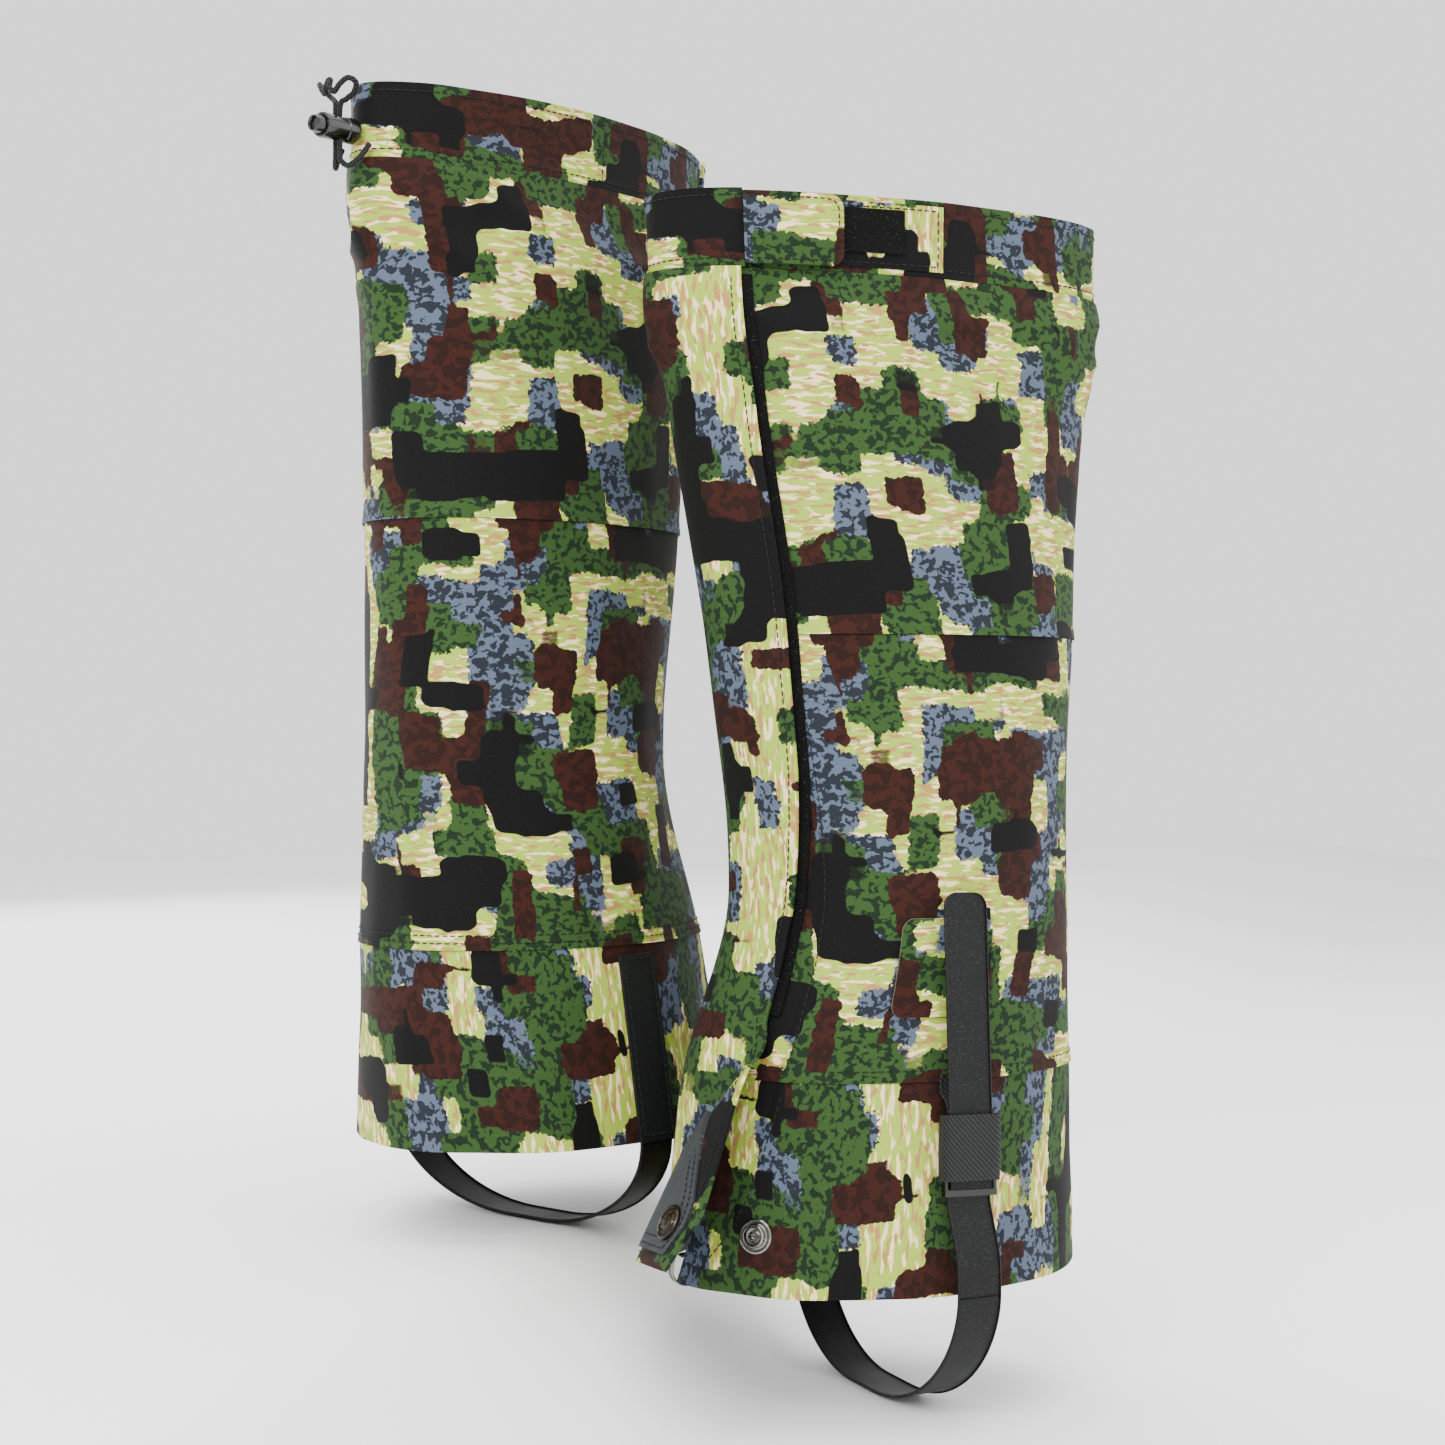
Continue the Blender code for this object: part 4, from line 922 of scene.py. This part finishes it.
def makeCollar(gaiter):
    place = onLeg(gaiter)
    low, high = collarSet["tabLow"], collarSet["tabLow"] + collarSet["tabHeight"]
    # collar end of the flap
    part = newPart()
    addSheet(part, gaiter, evenly(sleeve["collar"] + 0.0001, sleeve["height"], 12), always(rootAngle - 1),
             always(collarSet["tabBase"] - 0.2), 26, flapRest(0.0), flapRest(cloth), backSlot=1)
    for h in (low + 0.002, high - 0.0015):
        addStitches(part, [(h, -21), (h, 10), (h, 41)], onFlap(place), flapLift[1] + 0.0001, 2)
    piece = addPiece(gaiter, part, "sewn_flap_collar", [looks["collarCamo"], looks["lining"], looks["thread"]],
                     "flap", "flap_collar")
    # landing panel and hook patch
    part = newPart()
    addSheet(part, gaiter, evenly(low + 0.001, high - 0.001, 10), always(42.5), always(collarSet["landingEnd"]), 24,
             *hookLift,
             backSlot=0)
    path = [(low + 0.003, 60), (low + 0.003, 93.4), (high - 0.003, 93.4), (high - 0.003, 60)]
    addStitches(part, path, place, hookLift[1] + 0.0001, 1)
    piece = addPiece(gaiter, part, "sewn_landing", [looks["landingCamo"], looks["thread"]], "sleeve",
                     "collar_landing")
    for name, node, body, start, end, lift, look in (
            ("collarHookPatch", "collar_hook_patch", "sleeve", 49.5, 84.5, 0.0017, "hookTape"),
            ("tabLoopPatch", "tab_loop_patch", "tab", 50.5, 66, 0.0030, "loopTape")):
        part = newPart()
        addSheet(part, gaiter, evenly(low + 0.007, high - 0.004, 10), always(start), always(end), 20,
                 cloth + lift, cloth + lift + 0.0010, backSlot=0)
        piece = addPiece(gaiter, part, name, [looks[look]], body, node)
        arcLength(0.43, end) - arcLength(0.43, start)
    # the tab itself, rounded at its tip and stitched just inside its edge
    part = newPart()
    heights = [low + (high - low) * (0.5 - 0.5 * math.cos(math.pi * k / 24)) for k in range(25)]
    tip = roundedEnd(low, high, collarSet["tabTip"], collarSet["corner"], 0.1)
    addSheet(part, gaiter, heights, always(collarSet["tabBase"] - 0.1), tip, 20, cloth + 0.0043, cloth + 0.0057)
    inset = 0.0019
    inner = roundedEnd(low + inset, high - inset, collarSet["tabTip"] - 1.2, 0.0045, 0.1)
    path = [(low + inset, collarSet["tabBase"] + 1)] + [(h, inner(h)) for h in evenly(low + inset, high - inset, 24)]
    path.append((high - inset, collarSet["tabBase"] + 1))
    addStitches(part, path, place, cloth + 0.0058, 2, pitch=0.0030)
    addStitches(part, [(low + inset, collarSet["tabBase"] + 1), (high - inset, collarSet["tabBase"] + 1)], place,
                cloth + 0.0058, 2, pitch=0.0030)
    piece = addPiece(gaiter, part, "sewn_tab", [looks["tabCamo"], looks["lining"], looks["thread"]], "tab",
                     "collar_tab")


for gaiter in gaiters:
    makeCollar(gaiter)
print("collars made")

# ---------- instep strap, buckle and patch
strapSet = {"width": 0.020, "thick": 0.0016, "x": 0.005, "buckleHeight": 0.059, "stand": 0.0066, "lean": 0.105,
            "tailRise": 0.103, "keeperHeight": 0.0265}


def makeStraps(gaiter):
    prefix = gaiter["prefix"]
    x, width, thick = strapSet["x"], strapSet["width"], strapSet["thick"]
    height = strapSet["buckleHeight"]
    seat = legPoint(height, angleAtX(height, x), cloth + strapSet["stand"])
    up = Vector((0.03, strapSet["lean"], 1)).normalized()
    out = Vector((1, 0, 0)).cross(up).normalized()
    buckle = Matrix((up.cross(out), up, out)).transposed().to_4x4()
    buckle.translation = seat
    side = Vector((1, 0, 0))
    top = strapSet["keeperHeight"] / 2
    frameBack = -0.0031
    tailMiddle = frameBack + 0.0034 + thick / 2
    # tail, rounded at the tip
    part = newPart()
    tailLow, tailHigh = -top - 0.0035, strapSet["tailRise"]
    corner = width * 0.30

    def tailWidth(share):
        left = (1 - share) * (tailHigh - tailLow)
        if left >= corner:
            return width
        return width - 2 * corner + 2 * math.sqrt(max(corner**2 - (corner - left) ** 2, 0))

    shares = [k / 60 * 0.93 for k in range(61)] + [0.93 + 0.07 * math.sin(math.pi / 2 * k / 16) for k in range(1, 17)]
    line = [buckle @ Vector((0, tailLow + (tailHigh - tailLow) * s, tailMiddle)) for s in shares]
    addSweep(part, line, buckle.col[0].to_3d(), lambda s: tailWidth(shares[round(s * 76)]), thick, 0)
    piece = addPiece(gaiter, part, "coated_tail", [looks["strap"]], "tail", "strap_tail", 60)
    # keeper: a sleeve of twill round the strap and the buckle
    part = newPart()
    half, front, back = 0.0132, 0.0036, -0.0044
    ring = []
    for k in range(32):
        turn = 2 * math.pi * k / 32
        c, s = math.cos(turn), math.sin(turn)
        ring.append((math.copysign(abs(c) ** 0.35, c) * half,
                     (front + back) / 2 + math.copysign(abs(s) ** 0.55, s) * (front - back) / 2))
    rows = []
    for inset, levels in ((0.0, evenly(-top, top, 8)), (0.0009, evenly(top, -top, 8))):
        for y in levels:
            swell = 1 + 0.02 * math.sin(math.pi * (y + top) / (2 * top))
            lean = 0.0006 * (y / top)
            rows.append([(buckle @ Vector((px * swell - math.copysign(inset, px) + lean, y,
                                           pz - math.copysign(inset, pz + 0.0004))), (px + pz, y, 0))
                         for px, pz in ring])
    addGrid(part, rows, 0, closedAcross=True, closedAlong=True)
    addPiece(gaiter, part, "twill_keeper", [looks["twill"]], "sleeve", "buckle_keeper", 60)
    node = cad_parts[prefix + "buckle_frame"]
    node.data.materials.clear()
    node.data.materials.append(looks["plastic"])
    bevel = node.modifiers.new("softEdges", "BEVEL")
    bevel.width, bevel.segments = 0.0007, 3
    # anchor webbing from the seam to the buckle
    part = newPart()
    frameTop = -top - 0.0062 + 0.017
    seamAngle = angleAtX(sleeve["instep"], x)
    line = [buckle @ Vector((0, y, frameBack + 0.0015)) for y in (frameTop + 0.0006, top + 0.003)]
    line += [legPoint(sleeve["instep"] + rise, seamAngle, cloth + lift)
             for rise, lift in ((-0.004, 0.0018), (0.003, 0.0016))]
    addSweep(part, smoothLine(line, 8), side, width - 0.001, 0.0011, 0)
    addPiece(gaiter, part, "anchor_webbing", [looks["twill"]], "sleeve", "buckle_anchor", 60)
    # riser, loop and sewn end
    outerY, innerY = legPoint(0, 90, 0).y, legPoint(0, 270, 0).y
    riseOut = strapSet["stand"] * 0.9
    hem = sleeve["hemZ"]
    line = [buckle @ Vector((0, -top - 0.0050, frameBack + 0.0015)),
            buckle @ Vector((0, -top - 0.0100, frameBack + 0.0010)),
            Vector((x, outerY - riseOut - 0.0015, hem + 0.018)), Vector((x, outerY - riseOut - 0.003, hem + 0.008)),
            Vector((x, outerY - riseOut - 0.003, hem))]
    part = newPart()
    addSweep(part, smoothLine(line, 8), side, width, thick, 0)
    addPiece(gaiter, part, "coated_riser", [looks["strap"]], "sleeve", "strap_riser", 60)
    bottom = hem - gaiter["loopDrop"] + thick / 2
    flatLeft, flatRight = -0.006, 0.014
    line = [Vector((x, outerY - riseOut - 0.003, hem))]
    reach = flatLeft - (outerY - riseOut - 0.003)
    for k in range(1, 37):
        turn = math.radians(90 * k / 36)
        line.append(Vector((x, flatLeft - reach * math.cos(turn), hem - (hem - bottom) * math.sin(turn) ** 1.15)))
    innerReach = innerY + cloth + 0.0004 + thick / 2 - flatRight
    line.append(Vector((x, (flatLeft + flatRight) / 2, bottom)))
    for k in range(36, -1, -1):
        turn = math.radians(90 * k / 36)
        line.append(Vector((x, flatRight + innerReach * math.cos(turn), hem - (hem - bottom) * math.sin(turn) ** 0.95)))
    part = newPart()
    addSweep(part, line, side, width, thick, 0)
    loop = addPiece(gaiter, part, "coated_loop", [looks["strap"]], "sleeve", "instep_strap", 60)
    sum((q - p).length for p, q in zip(line, line[1:]))
    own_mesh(loop)
    part = newPart()
    mid = 360 - angleAtX(sleeve["instep"] / 2, x)
    half = math.degrees(width / sleeve["length"] / 0.85)
    addSheet(part, gaiter, evenly(-0.0005, sleeve["instep"] - 0.004, 24), always(mid - half), always(mid + half), 8,
             cloth + 0.0003, cloth + 0.0003 + thick, backSlot=0)
    place = onLeg(gaiter)
    lift = cloth + thick + 0.0004
    low, high, left, right = 0.003, sleeve["instep"] - 0.006, mid - half + 1.4, mid + half - 1.4
    box = [(low, left), (high, left), (high, right), (low, right), (low, left)]
    addStitches(part, box, place, lift, 1)
    piece = addPiece(gaiter, part, "sewn_strap_end", [looks["sewnStrap"], looks["thread"]], "sleeve",
                     "strap_anchor")
    # glued patch behind the tail
    part = newPart()
    middleHeight = 0.131
    middleAngle = angleAtX(middleHeight, 0.0) + 1.0
    reach = math.degrees(0.040 / sleeve["length"] / 0.72 / 1.04)

    def patchSide(sign):
        def sideAt(h):
            edge = min(h - middleHeight + 0.02, middleHeight + 0.02 - h)
            cut = 0.0 if edge >= 0.005 else 0.005 - math.sqrt(max(0.005**2 - (0.005 - edge) ** 2, 0))
            return middleAngle + sign * reach * (1 - 2 * cut / 0.040)
        return sideAt

    heights = [middleHeight - 0.02 * math.cos(math.pi * k / 28) for k in range(29)]
    addSheet(part, gaiter, heights, patchSide(-1), patchSide(1), 16, cloth + 0.0004, cloth + 0.0012, backSlot=0,
             edgeSlot=1)
    piece = addPiece(gaiter, part, "glued_patch", [looks["patchCamo"], looks["paleEdge"]], "sleeve", "tail_patch")


for gaiter in gaiters:
    makeStraps(gaiter)
print("straps made")

# ---------- drawcord and barrel lock
cordSet = {"diameter": 0.0024,
           "path": ((-0.0098, -0.0085, -0.006), (-0.0062, -0.0072, -0.0115), (-0.0025, -0.0042, -0.0155),
                    (-0.0004, -0.0020, -0.0140), (0, -0.0013, -0.0115), (0, -0.0013, 0.0085),
                    (-0.0016, -0.0036, 0.0120),
                    (-0.0026, -0.0072, 0.0145), (-0.0010, -0.0100, 0.0178), (0.0022, -0.0088, 0.0192),
                    (0.0040, -0.0058, 0.0168), (0.0046, -0.0030, 0.0140), (0.0056, -0.0012, 0.0160),
                    (0.0046, -0.0006, 0.0190))}


def makeCord(gaiter):
    prefix = gaiter["prefix"]
    lock = lockPlace(gaiter["lockAngle"])
    points = [lock @ Vector(p) for p in cordSet["path"]]
    points += [lock @ Vector((p[0], -p[1], p[2])) for p in reversed(cordSet["path"])]
    line = smoothLine(points, 6)
    part = newPart()
    addTube(part, line, cordSet["diameter"] / 2, 14, 0)
    piece = addPiece(gaiter, part, "braided_drawcord", [looks["cord"]], "sleeve", "drawcord", 60)
    worldLine = [gaiter["matrix"] @ p for p in line]
    length = sum((q - p).length for p, q in zip(worldLine, worldLine[1:]))
    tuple(worldLine[0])
    half = lockSet["length"] / 2
    lie = lock @ Matrix.Rotation(math.radians(90), 4, "Y")
    part = newPart()
    addLathe(part, [(0.0, -half), (0.0044, -half), (0.0053, -half + 0.0009), (0.00545, -half + 0.002),
                    (0.00545, -0.0030), (0.0051, -0.0026), (0.0051, 0.0026), (0.00545, 0.0030), (0.00545, half - 0.0008),
                    (0.0051, half), (0.0042, half), (0.0041, half - 0.0082), (0.0, half - 0.0082)], lie, 0)
    addPiece(gaiter, part, "ribbed_lock_barrel", [looks["plastic"]], "cord_lock", "cord_lock_barrel",
             40)
    part = newPart()
    reach = half + 0.0042
    addLathe(part, [(0.0, half - 0.0038), (0.0037, half - 0.0038), (0.0037, reach - 0.0006), (0.0033, reach),
                    (0.0028, reach), (0.0024, reach - 0.0006), (0.0022, reach - 0.0014), (0.0, reach - 0.0014)], lie, 0, 40)
    addPiece(gaiter, part, "ringed_lock_button", [looks["plastic"]], "button", "cord_lock_plunger",
             40)


for gaiter in gaiters:
    makeCord(gaiter)
print("drawcords made")

# ---------- floor, backdrop and light
floorSet = {"reach": 3.0, "rise": 0.065, "shade": 0.92}
leftFoot, rightFoot = gaiters[0]["matrix"].translation, gaiters[1]["matrix"].translation


def makeFloor():
    # the pale floor rises gently under the gaiter that stands behind
    mesh = bmesh.new()
    away = (rightFoot - leftFoot).to_2d()
    span = away.length
    away.normalize()
    steps = sorted({round(s, 4) for s in evenly(-floorSet["reach"], floorSet["reach"], 12) + evenly(-0.5, 0.5, 80)})
    grid = []
    for gx in steps:
        row = []
        for gy in steps:
            spot = Vector((gx, gy)) + middle.to_2d()
            along = (spot - leftFoot.to_2d()).dot(away)
            height = floorSet["rise"] * ramp(along, 0.25 * span, 0.88 * span) - 0.0006
            row.append(mesh.verts.new((spot.x, spot.y, height)))
        grid.append(row)
    for i in range(len(steps) - 1):
        for j in range(len(steps) - 1):
            mesh.faces.new((grid[i][j], grid[i + 1][j], grid[i + 1][j + 1], grid[i][j + 1])).smooth = True
    data = bpy.data.meshes.new("paleFloor")
    mesh.to_mesh(data)
    mesh.free()
    material = bpy.data.materials.new("paleFloor")
    material.use_nodes = True
    shader = material.node_tree.nodes["Principled BSDF"]
    shader.inputs["Base Color"].default_value = (floorSet["shade"],) * 3 + (1,)
    shader.inputs["Roughness"].default_value = 0.9
    shader.inputs["Specular IOR Level"].default_value = 0.1
    data.materials.append(material)
    floor = link("paleFloor", data)


makeFloor()

lightSet = {"key": (-1.1, -1.3, 1.3, 1.2, 42), "fill": (1.2, -1.1, 0.9, 1.6, 13), "top": (0.0, 0.2, 1.9, 2.2, 42),
            "back": (-0.4, 1.5, 1.1, 1.8, 34)}
for name, (x, y, z, size, power) in lightSet.items():
    lamp = bpy.data.lights.new(name, "AREA")
    lamp.size, lamp.energy = size, power
    light = link(name, lamp)
    light.location = (x, y, z)
    light.rotation_euler = (Vector((0, 0, 0.25)) - light.location).to_track_quat("-Z", "Y").to_euler()
world = bpy.data.worlds.new("studio")
world.use_nodes = True
world.node_tree.nodes["Background"].inputs[0].default_value = (1, 1, 1, 1)
world.node_tree.nodes["Background"].inputs[1].default_value = 1.5
bpy.context.scene.world = world

print("finished")
